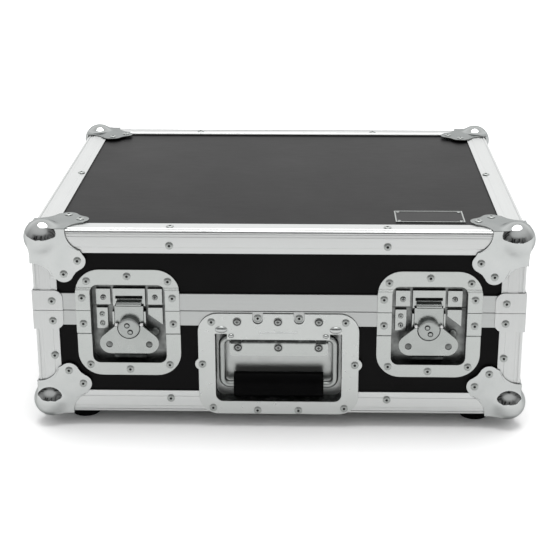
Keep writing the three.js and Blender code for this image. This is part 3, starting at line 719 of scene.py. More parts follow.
def eased(node: str, name: str, width: float) -> Piece:
    """A copy of a CAD node with its points merged, its flats cleaned and its edges rounded.

    Args:
        node: the node to copy.
        name: the new piece's name.
        width: the width of the round, in millimetres.

    Returns:
        The new piece.
    """
    piece = bpy.data.objects.new(name, NODES[node].data.copy())
    bpy.context.scene.collection.objects.link(piece)
    with editing(piece, "VERT"):
        bpy.ops.mesh.select_all(action="SELECT")
        bpy.ops.mesh.remove_doubles(threshold=MERGE)
        bpy.ops.mesh.customdata_custom_splitnormals_clear()
        bpy.ops.mesh.dissolve_limited(angle_limit=math.radians(0.4))
    return smoothed(bevelled(piece, width, 2, 28))


def with_painted_shade(piece: Piece, floor: float, floor_shade: float, *nooks: Sequence[float]) -> Piece:
    """Marks how much painted shade each face of a recess gets, darkest on its walls and nooks, for its finish
    to read.

    Args:
        piece: the recess, in its place in the front of the case.
        floor: how deep its floor starts, in millimetres behind the front face.
        floor_shade: how much painted shade the floor gets, from 0 to 1.
        nooks: places that get the darkest painted shade: from x, from z, to x, to z, and from how deep.

    Returns:
        The piece.
    """
    # Painted shade: walls get nearly all of it, the nooks all of it, the floor its given share and the rest
    # of the inside a trace.
    rim, mouth, wall_shade, face_shade = -1.2, 1.2, 0.95, 0.06
    marks = piece.data.attributes.new("painted_shade", "FLOAT", "FACE")
    for face, mark in zip(piece.data.polygons, marks.data):
        x, deep, z = face.center.x / MM, face.center.y / MM + DEPTH / 2, face.center.z / MM
        if abs(face.normal.y) < 0.7 and deep > rim:
            mark.value = wall_shade
        elif any(a < x < c and b < z < d and deep > e for a, b, c, d, e in nooks):
            mark.value = 1.0
        elif deep > mouth:
            mark.value = floor_shade if deep > floor else face_shade
    return piece


def finished(piece: Piece, body: Body, slot: Slot, finish: Finish, *nodes: str) -> Piece:
    """Dresses a piece, sets it on its body and hides the CAD nodes that it replaces.

    Args:
        piece: the piece.
        body: the body that it rides on.
        slot: the record's slot of its finish; not used.
        finish: its finish.
        nodes: the CAD nodes that it replaces.

    Returns:
        The piece.
    """
    if len(piece.data.materials) < 2:
        piece.data.materials.clear()
        piece.data.materials.append(finish.material())
    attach(piece, body.value)
    if nodes:
        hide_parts(*nodes)
    log.info("%s rides on %s, %d faces", piece.name, body.value, len(piece.data.polygons))
    return piece


def dressed(node: str, form: str, width: float, body: Body, slot: Slot, finish: Finish) -> Piece:
    """A finished copy of a CAD node with its edges eased by a width, named after its form."""
    return finished(eased(node, f"{node}_{form}", width), body, slot, finish, node)


# Fasteners


@dataclass
class Fastener:
    """A small fastener, modelled once at the origin, standing on z = 0, and copied."""

    radius: float
    rim: float
    dome: float
    crease: float
    model: Optional[Piece] = None

    def shape(self) -> Piece:
        """The fastener's form with its finishes."""
        raise NotImplementedError

    def row(self, name: str, body: Body, places: Sequence[Matrix]) -> None:
        """Sets a copy at each place, as one piece on a body."""
        if self.model is None:
            self.model = smoothed(self.shape(), self.crease)
        copies = [copied(self.model, f"{name}_{k}", place) for k, place in enumerate(places)]
        finished(joined(name, copies), body, Slot.STEEL, RIVET)

    def put_away(self) -> None:
        """Takes the model off the bench."""
        if self.model is not None:
            discard(self.model)
            self.model = None


@dataclass
class PopRivet(Fastener):
    """A domed rivet whose core has painted shade."""

    radius: float = 4.2
    rim: float = 0.45
    dome: float = 0.75
    crease: float = 50.0
    edge: float = 0.6
    core: float = 1.45
    lip: float = 0.55
    dip: float = -0.12
    depth: float = 0.9

    def shape(self) -> Piece:
        """The head, which steps up to the lip round its core."""
        half = (self.radius - self.edge - self.core - self.lip) / 2
        low, middle, high = (share * self.dome for share in (0.45, 0.33, 0.22))
        head = disc(self.radius, self.rim, 20)
        stepped(head, (self.edge, low), (half, middle), (half, high), (self.lip, self.dip), sink=self.depth)
        # The faces inside the core get painted shade.
        bore = self.core + 0.05
        return toned(head, RIVET, PAINTED_SHADE, lambda centre, normal: centre.xy.length < bore and centre.z > 0)


@dataclass
class CrossScrew(Fastener):
    """A pan-head screw with a cross recess, on a washer if one is set."""

    radius: float = 3.1
    rim: float = 0.6
    dome: float = 0.5
    crease: float = 40.0
    slot_width: float = 0.75
    slot_length: float = 3.4
    washer: float = 0.0
    washer_sheet: float = 0.33

    def shape(self) -> Piece:
        """The head with its cross, whose recess has painted shade, and the washer, whose middle under the
        head has painted shade for a dark ring round it.
        """
        head = stepped(disc(self.radius, self.rim, 20), (0.5, 0.6 * self.dome), (0.9, 0.4 * self.dome))
        half, long = self.slot_width / 2, self.slot_length / 2
        low, high = self.rim + 0.02, self.rim + self.dome + 1
        carved(head, *[box((-a, -b, low), (a, b, high)) for a, b in ((half, long), (long, half))])
        # The faces in the cross recess get painted shade.
        reach, floor = long + 0.05, self.rim + 0.1
        pieces = [toned(head, HEAD, PAINTED_SHADE, lambda centre, normal: (
            max(abs(centre.x), abs(centre.y)) < reach and 0 < centre.z < floor))]
        if self.washer:
            ring = stepped(disc(self.washer, self.washer_sheet, 24), (0.35, 0.20), (0.40, 0))
            # The washer's flat middle under the head gets painted shade, a dark ring round the head.
            pieces.append(toned(ring, RIVET, PAINTED_SHADE, lambda centre, normal: (
                centre.xy.length < 0.5 and normal.z > 0)))
        return joined("screw_model", pieces)


POP = PopRivet()
SMALL_POP = PopRivet(radius=2.9, dome=0.5, core=1.0)
PLATE_POP = PopRivet(radius=1.9, rim=0.3, dome=0.4, core=0.6)
SCREW = CrossScrew()
LOCK_SCREW = CrossScrew(radius=3.3, washer=5.0)
FASTENERS = (POP, SMALL_POP, PLATE_POP, SCREW, LOCK_SCREW)


# Sub-assemblies


@dataclass
class Panels:
    """The laminated plywood panels, which keep their frame shapes."""

    half: Body
    flat: str

    def dress(self) -> None:
        """Gives each panel its laminate."""
        for side in (self.flat, "front", "back", "left", "right"):
            node = NODES[f"{self.half.value}_{side}_panel"]
            node.data.materials.clear()
            node.data.materials.append(LAMINATE.material())
            log.info("%s keeps its shape", node.name)


@dataclass
class Extrusions:
    """The edge frame, the rims at the parting line and the corner posts of one half."""

    half: Body
    ease: float = 0.28
    rim_ease: float = 0.45
    brace_ease: float = 0.35
    brace_along: float = 240.5
    brace_deep: float = 19.5
    brace_proud: float = 1.5
    lid_brace: float = 145.1
    base_brace: float = 122.6
    top_along: float = 114.0
    top_drop: float = 16.8
    top_side: float = 19.6
    top_deep: float = 13.5
    top_shift: float = 2.0
    bottom_along: float = 117.0
    bottom_rise: float = 16.5
    post_along: float = 240.9
    post_deep: float = 19.1
    post_rise: float = 66.2

    def build(self) -> None:
        """Copies each run with its edges eased."""
        half = self.half.value
        for part, ease, metal in (
                ("edge_frame", self.ease, ALUMINIUM),
                ("rim", self.rim_ease, RIM),
                ("rim_front", self.rim_ease, RIM)):
            dressed(f"{half}_{part}", "run", ease, self.half, Slot.ALUMINIUM, metal)
        for corner in CORNERS:
            dressed(f"{half}_post_{corner}", "run", self.brace_ease, self.half, Slot.ALUMINIUM, UPRIGHT)

    def rivets(self) -> None:
        """The rivets of the braces, and those along the edges."""
        places = self.brace_places() + (self.top_places() if self.half is Body.LID else self.bottom_places())
        POP.row(f"{self.half.value}_extrusion_rivets", self.half, places)

    def brace_places(self) -> list[Matrix]:
        """A rivet through each leg of each joint brace.

        Returns:
            Their places.
        """
        rise = self.lid_brace if self.half is Body.LID else self.base_brace
        across, deep = WIDTH / 2 + self.brace_proud, DEPTH / 2 + self.brace_proud
        places = []
        for sign in (-1, 1):
            along, back = sign * self.brace_along, sign * (DEPTH / 2 - self.brace_deep)
            places += [Face.FRONT.at(along, -deep, rise), Face.BACK.at(along, deep, rise),
                       Face.LEFT.at(-across, back, rise), Face.RIGHT.at(across, back, rise)]
        return places

    def top_places(self) -> list[Matrix]:
        """The rivets along the top edges.

        Returns:
            Their places.
        """
        across, deep = WIDTH / 2 - self.top_side, DEPTH / 2 - self.top_deep
        level = TOP - self.top_drop
        places = []
        for sign, side in ((-1, Face.LEFT), (1, Face.RIGHT)):
            along = sign * self.top_along
            places += [Face.FRONT.at(along, -DEPTH / 2, level), Face.TOP.at(along, -deep, TOP),
                       Face.BACK.at(along, DEPTH / 2, level), Face.TOP.at(along, deep, TOP),
                       Face.TOP.at(sign * across, self.top_shift, TOP), side.at(sign * WIDTH / 2, 0, level)]
        return places

    def bottom_places(self) -> list[Matrix]:
        """The rivets along the bottom edges and up the posts.

        Returns:
            Their places.
        """
        low, high = GROUND + self.bottom_rise, GROUND + self.post_rise
        places = []
        for sign, side in ((-1, Face.LEFT), (1, Face.RIGHT)):
            for face, deep in ((Face.FRONT, -DEPTH / 2), (Face.BACK, DEPTH / 2)):
                places.append(face.at(sign * self.bottom_along, deep, low))
                places.append(face.at(sign * self.post_along, deep, high))
            places.append(side.at(sign * WIDTH / 2, 0, low))
            for end in (-1, 1):
                places.append(side.at(sign * WIDTH / 2, end * (DEPTH / 2 - self.post_deep), high))
        return places


@dataclass
class BallCorner:
    """A pressed corner: a ball over the case's corner that flows into three riveted plates."""

    ball_radius: float = 19.5
    inset: float = 11.0
    sheet: float = 1.2
    gap: float = 0.3
    reach: float = 37.0
    scallop: float = 23.7
    lobe: Triple = (47.2, 33.8, 10.6)
    notch: float = 46.8
    blend: float = 6.0
    slit: Triple = (27.0, 0.4, 0.75)
    slit_run: float = 1.2
    slit_half: float = 5.0
    ball_end: float = 9.0
    blend_run: float = 11.0
    ring_step: float = 1.2
    ring_count: int = 30
    hem: Triple = (1.1, 0.45, 0.13)
    hem_start: float = 0.4
    least_turn: float = 0.002
    rivets: tuple[Point, ...] = ((49.0, 33.6), (33.9, 48.4))

    def outline(self) -> list[Point]:
        """A plate's outline about the case's corner, from one edge of the case to the next.

        Returns:
            Its points in order.
        """
        edge = -self.gap - self.sheet
        along, deep, radius = self.lobe
        half = [(self.reach, edge), (self.reach, edge + self.slit[1])]
        half += arc((self.reach + self.scallop, 0), self.scallop, 180, 110, 12)
        half += arc((along, deep), radius, -44, 68, 14)
        return half + [(self.notch, self.notch)] + [(b, a) for a, b in reversed(half)]

    @staticmethod
    def pulled_in(line: Sequence[Point], by: float) -> list[Point]:
        """The outline, moved towards the inside of its plate.

        Args:
            line: the outline.
            by: how far, in millimetres.

        Returns:
            The new outline.
        """
        drawn = [(line[0][0] - by, line[0][1])]
        for before, (a, b), after in zip(line, line[1:], line[2:]):
            run = Vector((after[0] - before[0], after[1] - before[1])).normalized()
            drawn.append((a - run.y * by, b + run.x * by))
        return drawn + [(line[-1][0], line[-1][1] - by)]

    def spokes(self, line: Sequence[Point], reach: float) -> list[Point]:
        """The points at one distance from the skin's corner, one towards each point of the outline.

        Args:
            line: the outline.
            reach: the distance.

        Returns:
            The points, turned apart a little where the outline would bring them out of order.
        """
        start = line[0][1]
        fan = [math.atan2(b - start, a - start) for a, b in line[:len(line) // 2]]
        for k in range(1, len(fan)):
            fan[k] = max(fan[k], fan[k - 1] + self.least_turn)
        fan += [math.pi / 4] + [math.pi / 2 - turn for turn in reversed(fan)]
        return [(start + reach * math.cos(turn), start + reach * math.sin(turn)) for turn in fan]

    def swollen(self, point: Vector, reach: float) -> Vector:
        """Where a point of the plates' outer skin goes once the ball is pressed into it.

        Args:
            point: the point, in millimetres.
            reach: its distance from the skin's corner.

        Returns:
            The new point.
        """
        centre = Vector([self.inset] * 3)
        arm = point - centre
        if reach < self.ball_end:
            return centre + arm.normalized() * self.ball_radius
        ease = min((reach - self.ball_end) / self.blend_run, 1)
        blend = max(self.blend * ease * ease * (3 - 2 * ease), 0.01)
        near = max(blend - abs(arm.length - self.ball_radius), 0) / blend
        return centre + arm.normalized() * (max(arm.length, self.ball_radius) + near * near * blend / 4)

    def skin(self, spots: Sequence[Vector]) -> list[Vector]:
        """A ring of the outer skin: swollen at the ball, sunk where two plates meet past it.

        Args:
            spots: the ring's points on the flat plates.

        Returns:
            The points of the ring.
        """
        start, _, depth = self.slit
        pole = Vector([-self.gap - self.sheet] * 3)
        each = len(spots) // 3
        ring = []
        for index, spot in enumerate(spots):
            reach = (spot - pole).length
            point = self.swollen(spot, reach)
            if index % each == 0 and reach > start:
                sunk = Vector([0.0 if value > self.slit_half else depth for value in spot])
                point += sunk * min((reach - start) / self.slit_run, 1)
            ring.append(point)
        return ring

    def ring(self, line: Sequence[Point], level: float) -> list[Vector]:
        """A line of points on one plate, at a level out of the case, carried round all three plates."""
        orders = ((0, 1, 2), (2, 0, 1), (1, 2, 0))
        return [Vector([(a, b, level)[k] for k in order]) for order in orders for a, b in line[:-1]]

    def model(self) -> Piece:
        """The corner of a case that lies in +x, +y and +z.

        Returns:
            The model.
        """
        line = self.outline()
        outer, inner = -self.gap - self.sheet, -self.gap
        wide, narrow, sharp = self.hem
        flat = [self.ring(self.spokes(line, self.ring_step * k), outer) for k in range(self.ring_count + 1)]
        held = self.ring(self.pulled_in(line, wide), outer)
        flat.append([start.lerp(end, self.hem_start) for start, end in zip(flat[-1], held)])
        flat += [held, self.ring(self.pulled_in(line, narrow), outer)]
        rings = [self.skin(ring) for ring in flat]
        rings.append(self.ring(self.pulled_in(line, sharp), outer + sharp))
        rings.append(self.ring(line, outer + narrow))
        rings.append(self.ring(line, inner))
        rings.append([Vector([inner] * 3)] * len(held))
        whole = wrapped(rings, capped=False)
        whole.name = "corner_model"
        return smoothed(whole, 32)

    def place(self, half: Body, sx: int, sy: int) -> Matrix:
        """The turn and place of one corner.

        Args:
            half: the lid or the base.
            sx: -1 at the left, 1 at the right.
            sy: -1 at the front, 1 at the back.

        Returns:
            The place.
        """
        at = moved(sx * WIDTH / 2, sy * DEPTH / 2, TOP if half is Body.LID else GROUND)
        quarter = {(-1, -1): 0, (1, -1): 90, (1, 1): 180, (-1, 1): 270}[(sx, sy)]
        return at @ turned(quarter, "Z") @ turned(-90 if half is Body.LID else 0, "X")

    def rivet_places(self, place: Matrix) -> list[Matrix]:
        """Two rivets on each plate, square to it.

        Args:
            place: the corner's place.

        Returns:
            Their places.
        """
        turn = Matrix.Rotation(math.radians(120), 4, Vector((1, 1, 1)))
        places = []
        for a, b in self.rivets:
            spot = Face.BOTTOM.at(a, b, -self.gap - self.sheet)
            places += [place @ spot, place @ turn @ spot, place @ turn @ turn @ spot]
        return places

    def build(self) -> None:
        """All eight corners with their rivets."""
        model = self.model()
        for half in (Body.LID, Body.BASE):
            rivets = []
            for corner, (sx, sy) in CORNERS.items():
                place = self.place(half, sx, sy)
                node = f"{half.value}_corner_{corner}"
                finished(copied(model, f"{node}_pressing", place), half, Slot.CORNER, CHROME, node)
                rivets += self.rivet_places(place)
            POP.row(f"{half.value}_corner_rivets", half, rivets)
        discard(model)


@dataclass
class ButterflyLatch:
    """A recessed latch: the two halves of its dish, the hook, the hub and the folding wing."""

    side: str
    across: float
    drop: float = 20.4
    hub_radius: float = 11.3
    hub_front: float = -0.2
    hub_back: float = 6.7
    hub_steps: tuple[Point, ...] = ((0.5, 0.35), (0.9, 0.28), (1.6, 0.17))
    shaft: Point = (5.5, 17.2)
    pivot: Point = (3.2, 2.2)
    pivot_half: float = 15.0
    pivot_radius: float = 0.9
    wing_front: float = 0.6
    wing_sheet: float = 2.0
    wing_play: float = 0.8
    wing_ease: float = 0.55
    lobe: Triple = (19.95, 17.59, 12.0)
    hole: Triple = (21.38, 18.85, 3.3)
    pins: tuple[Point, ...] = ((-1.7, 3.2), (1.6, -4.2))
    pin_front: float = -1.2
    pin_size: Point = (2.0, 0.6)
    pin_steps: tuple[Point, ...] = ((0.45, 0.16), (0.75, -0.25))
    pin_groove_shade: Point = (3.0, 0.16)
    lid_rivets: tuple[Point, ...] = ((-48.4, 14.6), (-43.2, 32.6), (0.0, 38.2), (43.0, 32.6), (47.6, 14.6))
    base_rivets: tuple[Point, ...] = (
        (-48.0, -14.8), (-42.8, -62.9), (0.0, -68.2), (42.9, -62.8), (48.0, -14.6))
    pad_screws: tuple[Point, ...] = ((-27.6, 10.4), (27.6, 10.4))
    pad_rivets: tuple[Point, ...] = ((-29.5, -8.8), (-29.5, -19.2))
    stud: Point = (27.0, -29.5)
    slot: Triple = (9.0, 12.6, 12.0)
    rest: Triple = (-58.1, -53.4, 7.5)
    nook_half: float = 17.5
    floor: float = 14.5
    painted_floor_shade: float = 0.62
    lid_lap: float = 23.2
    base_lap: float = 25.4
    lap_depth: float = -1.5
    flange_depth: float = 0.8
    eye_start: float = 12.2
    eye_radius: float = 2.2
    eye_bore: float = 1.3
    pad_depth: float = 12.2
    stud_radius: float = 4.2
    stud_height: float = 2.4
    stud_depth: float = 16.1

    def at(self, x: float, depth: float, z: float) -> Matrix:
        """A place x from the latch's middle, depth in from the front and z above the parting line."""
        return Face.FRONT.at(self.across + x, -DEPTH / 2 + depth, PARTING + z)

    def over(self, z: float) -> float:
        """How deep the outside of the dish's flange lies at a height."""
        edge = self.lid_lap if z > 0 else self.base_lap
        return self.lap_depth if abs(z) < edge else self.flange_depth

    def body(self, part: str) -> Body:
        """The body of this latch's hub, wing or hook."""
        return Body(f"{self.side}_{part}")

    def pivot_at(self, x: float) -> Matrix:
        """The place on the wing's pivot at x from the latch's middle, with +Z along it."""
        depth, rise = self.pivot
        return moved(self.across + x, -DEPTH / 2 + depth, PARTING - self.drop + rise) @ turned(90, "Y")

    def dishes(self) -> None:
        """The two halves of the dish with their edges eased and shade painted on their walls, floors and
        nooks.
        """
        for half in (Body.LID, Body.BASE):
            node = f"{self.side}_latch_{half.value}_dish"
            # The keeper's slot and the rest bar are nooks that get the darkest painted shade.
            low, high, deep = self.slot if half is Body.LID else self.rest
            left, right = self.across - self.nook_half, self.across + self.nook_half
            nook = (left, PARTING + low, right, PARTING + high, deep)
            dish = with_painted_shade(eased(node, f"{node}_pressing", 0.4), self.floor, self.painted_floor_shade, nook)
            finished(dish, half, Slot.STEEL, DISH, node)
        dressed(f"{self.side}_latch_hook", "plate", 0.3, self.body("hook"), Slot.STEEL, ZINC)

    def hub(self) -> None:
        """The round hub with its two pins, its shaft and the wing's pivot pin."""
        boss = stepped(disc(self.hub_radius, self.hub_back - self.hub_front, 56), *self.hub_steps)
        settle(boss, self.at(0, self.hub_back, -self.drop))
        radius, end = self.shaft
        shaft = disc(radius, end - self.hub_back + 0.3, 28, self.at(0, end, -self.drop))
        pivot = disc(self.pivot_radius, 2 * self.pivot_half, 14, self.pivot_at(-self.pivot_half))
        pieces = [boss, shaft, pivot]
        for piece in pieces:
            piece.data.materials.append(RIVET.material())
        for x, z in self.pins:
            # A thin disc with painted shade round each pin stands in for the shaded groove there.
            groove_shade = disc(*self.pin_groove_shade, 24, self.at(x, self.pin_front + 0.08, z - self.drop))
            groove_shade.data.materials.append(PAINTED_SHADE.material())
            pin = stepped(disc(*self.pin_size, 20), *self.pin_steps)
            settle(pin, self.at(x, self.pin_front + 0.05, z - self.drop))
            pin.data.materials.append(RIVET.material())
            pieces += [groove_shade, pin]
        whole = smoothed(joined(f"{self.side}_hub_boss", pieces), 38)
        finished(whole, self.body("hub"), Slot.STEEL, RIVET, f"{self.side}_latch_hub")

    def wing_outline(self) -> list[Point]:
        """The wing's outline about the hub's centre.

        Returns:
            Its corners in order.
        """
        across, drop, radius = self.lobe
        rise = self.pivot[1] + drop
        run = across - self.pivot_half
        lean = math.degrees(math.atan2(rise, run) + math.acos(radius / math.hypot(rise, run)))
        side = [(-self.pivot_half, self.pivot[1])] + arc((-across, -drop), radius, lean, 270, 16)
        return side + [(-x, z) for x, z in reversed(side)]

    def wing(self) -> None:
        """The folding wing, with its eyelets and finger holes."""
        x, z, radius = self.hole
        wells = [(0.0, 0.0, self.hub_radius + self.wing_play, 56), (-x, -z, radius, 28), (x, -z, radius, 28)]
        blank = plate(self.wing_outline(), self.wing_sheet)
        carved(blank, *[disc(r, 8, sides, moved(a, b, -3)) for a, b, r, sides in wells])
        bevelled(blank, self.wing_ease, 3, 40)
        # The walls of the finger holes and of the hub's well get painted shade.
        edge = self.wing_ease / 2
        toned(blank, ZINC, PAINTED_SHADE, lambda centre, normal: any(
            math.hypot(centre.x - a, centre.y - b) < r + edge for a, b, r, _ in wells))
        settle(blank, self.at(0, self.wing_front + self.wing_sheet, -self.drop))
        pieces = [blank]
        for start in (-self.pivot_half, self.eye_start):
            place = self.pivot_at(start)
            eye = disc(self.eye_radius, self.pivot_half - self.eye_start, 20, place)
            carved(eye, disc(self.eye_bore, 9, 20, place @ moved(0, 0, -3)))
            pieces.append(bevelled(eye, 0.25, 2, 40))
        whole = smoothed(joined(f"{self.side}_wing_plate", pieces), 38)
        finished(whole, self.body("wing"), Slot.STEEL, ZINC, f"{self.side}_latch_wing")

    def fasteners(self) -> None:
        """The rivets round the dish, and the screws and rivets on its pads."""
        name = f"{self.side}_latch"
        for half, rivets in ((Body.LID, self.lid_rivets), (Body.BASE, self.base_rivets)):
            POP.row(f"{name}_{half.value}_rivets", half, [self.at(x, self.over(z), z) for x, z in rivets])
        for fastener, kind, half, spots in (
                (SCREW, "screws", Body.LID, self.pad_screws),
                (SMALL_POP, "rivets", Body.BASE, self.pad_rivets)):
            fastener.row(f"{name}_pad_{kind}", half, [self.at(x, self.pad_depth, z) for x, z in spots])
        x, z = self.stud
        stud = disc(self.stud_radius, self.stud_height, 24, self.at(x, self.stud_depth, z))
        finished(smoothed(bevelled(stud, 0.8, 3)), Body.BASE, Slot.STEEL, RIVET).name = f"{name}_stud"

    def build(self) -> None:
        """The whole latch."""
        self.dishes()
        self.hub()
        self.wing()
        self.fasteners()


@dataclass
class SprungHandle:
    """The recessed handle: its dish and cover, the clamp plate, the bail and the grip."""

    bail_across: float = 60.8
    bail_radius: float = 3.75
    bail_end: float = 39.0
    pivot: float = 86.0
    depth: float = 6.0
    bend: float = 8.0
    grip_rise: float = 31.7
    grip_half: float = 48.6
    grip_height: float = 14.5
    grip_depth: float = 9.0
    rivets: tuple[Point, ...] = (
        (-71.5, 106.6), (71.5, 106.6), (-71.0, 6.6), (71.0, 6.6), (-81.8, 57.8), (81.8, 57.8),
        (-22.8, 3.8), (21.5, 3.8))
    notch_rivets: tuple[Point, ...] = ((-22.0, 110.6), (22.0, 110.6))
    cover_screws: tuple[Point, ...] = ((-44.0, 107.0), (-0.5, 107.0), (43.0, 107.0))
    plate_screws: tuple[Point, ...] = ((-44.2, 71.0), (-0.6, 71.0), (43.0, 71.0))
    bulges: tuple[tuple[float, float, float, float], ...] = (
        (-61.0, 98.0, 6.6, 3.9), (61.0, 98.0, 6.6, 3.9), (-50.5, 91.0, 3.2, 2.4), (50.5, 91.0, 3.2, 2.4))
    bulge_rise: float = 2.4
    bead: Triple = (-21.0, 20.0, 95.0)
    cover: float = -1.75
    floor: float = 14.0
    painted_floor_shade: float = 0.10
    ease: float = 0.45
    lap: float = -1.8
    clamp_front: float = 14.0
    grip_end: Point = (3.2, -0.35)
    grip_overlap: float = 4.0

    def at(self, x: float, depth: float, z: float) -> Matrix:
        """A place x from the case's middle, depth in from the front and z above its underside."""
        return Face.FRONT.at(x, -DEPTH / 2 + depth, GROUND + z)

    def pressings(self) -> None:
        """The dish and the clamp plate with their edges eased and shade painted on them, and the cover's
        bulges and bead.
        """
        # The tray gets painted shade on its walls and a little on its floor.
        dish = with_painted_shade(eased("handle_dish", "handle_dish_pressing", self.ease), self.floor, self.painted_floor_shade)
        finished(dish, Body.BASE, Slot.STEEL, TRAY, "handle_dish")
        # The clamp plate's finish paints a shadow on its top, under the cover.
        clamp = eased("handle_clamp_plate", "handle_clamp_pressing", self.ease)
        finished(clamp, Body.BASE, Slot.STEEL, CLAMP, "handle_clamp_plate")
        beads = []
        for x, z, wide, high in self.bulges:
            deselect()
            bpy.ops.mesh.primitive_uv_sphere_add(segments=28, ring_count=16, radius=MM)
            dome = bpy.context.object
            with editing(dome):
                bpy.ops.mesh.select_all(action="SELECT")
                bpy.ops.mesh.bisect(plane_co=(0, 0, 0), plane_no=(0, 0, 1), clear_inner=True, use_fill=True)
            dome.scale = (wide, high, self.bulge_rise)
            beads.append(settle(settle(dome), self.at(x, self.cover, z)))
        start, end, rise = self.bead
        bar = bevelled(box((start, -0.9, -0.3), (end, 0.9, 0.45)), 0.4, 3)
        beads.append(settle(bar, self.at(0, self.cover, rise)))
        finished(smoothed(joined("handle_cover_beads", beads), 50), Body.BASE, Slot.STEEL, CHROME)

    def rod(self) -> list[Matrix]:
        """The places along the bail, each square to its run.

        Returns:
            The places, from one pivot end to the other.
        """
        inner = self.bail_across - self.bend
        low = self.grip_rise + self.bend
        high = self.pivot - self.bend
        held = self.grip_half - self.grip_overlap
        right = [(self.bail_end, self.pivot)] + arc((inner, high), self.bend, 90, 0, 12)
        right += arc((inner, low), self.bend, 0, -90, 12) + [(held, self.grip_rise)]
        line = right + [(-x, z) for x, z in reversed(right)]
        spots = []
        for k, (x, z) in enumerate(line):
            before, after = line[max(k - 1, 0)], line[min(k + 1, len(line) - 1)]
            along = Vector((after[0] - before[0], 0, after[1] - before[1])).normalized()
            side = Vector((0, 1, 0))
            up = along.cross(side)
            spot = Matrix((side, up, along)).transposed().to_4x4()
            spot.translation = Vector((x, -DEPTH / 2 + self.depth, GROUND + z))
            spots.append(spot)
        return spots

    def bail(self) -> None:
        """The bent rod, as rings wrapped along its run."""
        rings = [circle_at(self.bail_radius, 24, spot) for spot in self.rod()]
        piece = smoothed(bevelled(wrapped(rings), 0.6, 2, 60), 40)
        piece.name = "handle_bail_rod"
        finished(piece, Body.BAIL, Slot.STEEL, RIVET, "handle_bail")

    def grip(self) -> None:
        """The moulded grip, with soft ends."""
        blank = disc(1.0, 2 * self.grip_half, 56)
        blank.scale = (self.grip_height, self.grip_depth, 1.0)
        settle(blank)
        pick(blank, lambda centre, normal: abs(normal.z) > 0.9)
        with editing(blank):
            width, rise = self.grip_end
            bpy.ops.mesh.inset(thickness=width * MM, depth=rise * MM, use_individual=True)
        at = moved(-self.grip_half, -DEPTH / 2 + self.depth, GROUND + self.grip_rise)
        settle(bevelled(blank, 1.4, 4, 40), at @ turned(90, "Y"))
        blank.name = "handle_grip_sleeve"
        finished(smoothed(blank, 40), Body.BAIL, Slot.GRIP, GRIP, "handle_grip")

    def fasteners(self) -> None:
        """The rivets of the flange, and the screws of the cover and the clamp plate."""
        rivets = ((self.lap, self.rivets), (0, self.notch_rivets))
        screws = ((self.lap, self.cover_screws), (self.clamp_front, self.plate_screws))
        for fastener, kind, groups in ((POP, "rivets", rivets), (LOCK_SCREW, "screws", screws)):
            places = [self.at(x, depth, z) for depth, spots in groups for x, z in spots]
            fastener.row(f"handle_{kind}", Body.BASE, places)

    def build(self) -> None:
        """The whole handle."""
        self.pressings()
        self.bail()
        self.grip()
        self.fasteners()


@dataclass
class RearHinge:
    """A leaf hinge on the back: two pressed leaves round a pin."""

    side: str
    across: float
    holes: tuple[Point, ...] = ((-18.0, 14.0), (18.0, 14.0), (0.0, 33.0))
    leaf: float = 24.0
    leaf_proud: float = 2.1
    flat_proud: float = -0.5

    def build(self) -> None:
        """The leaves and the pin with their edges eased, and the rivets."""
        for half, sign in ((Body.LID, 1), (Body.BASE, -1)):
            name = f"{self.side}_hinge_{half.value}"
            dressed(f"{name}_leaf", "pressing", 0.35, half, Slot.STEEL, ZINC)
            places = []
            for x, rise in self.holes:
                proud = self.leaf_proud if rise < self.leaf else self.flat_proud
                places.append(Face.BACK.at(self.across + x, DEPTH / 2 + proud, PARTING + sign * rise))
            POP.row(f"{name}_rivets", half, places)
        dressed(f"{self.side}_hinge_pin", "rod", 0.3, Body.BASE, Slot.STEEL, RIVET)


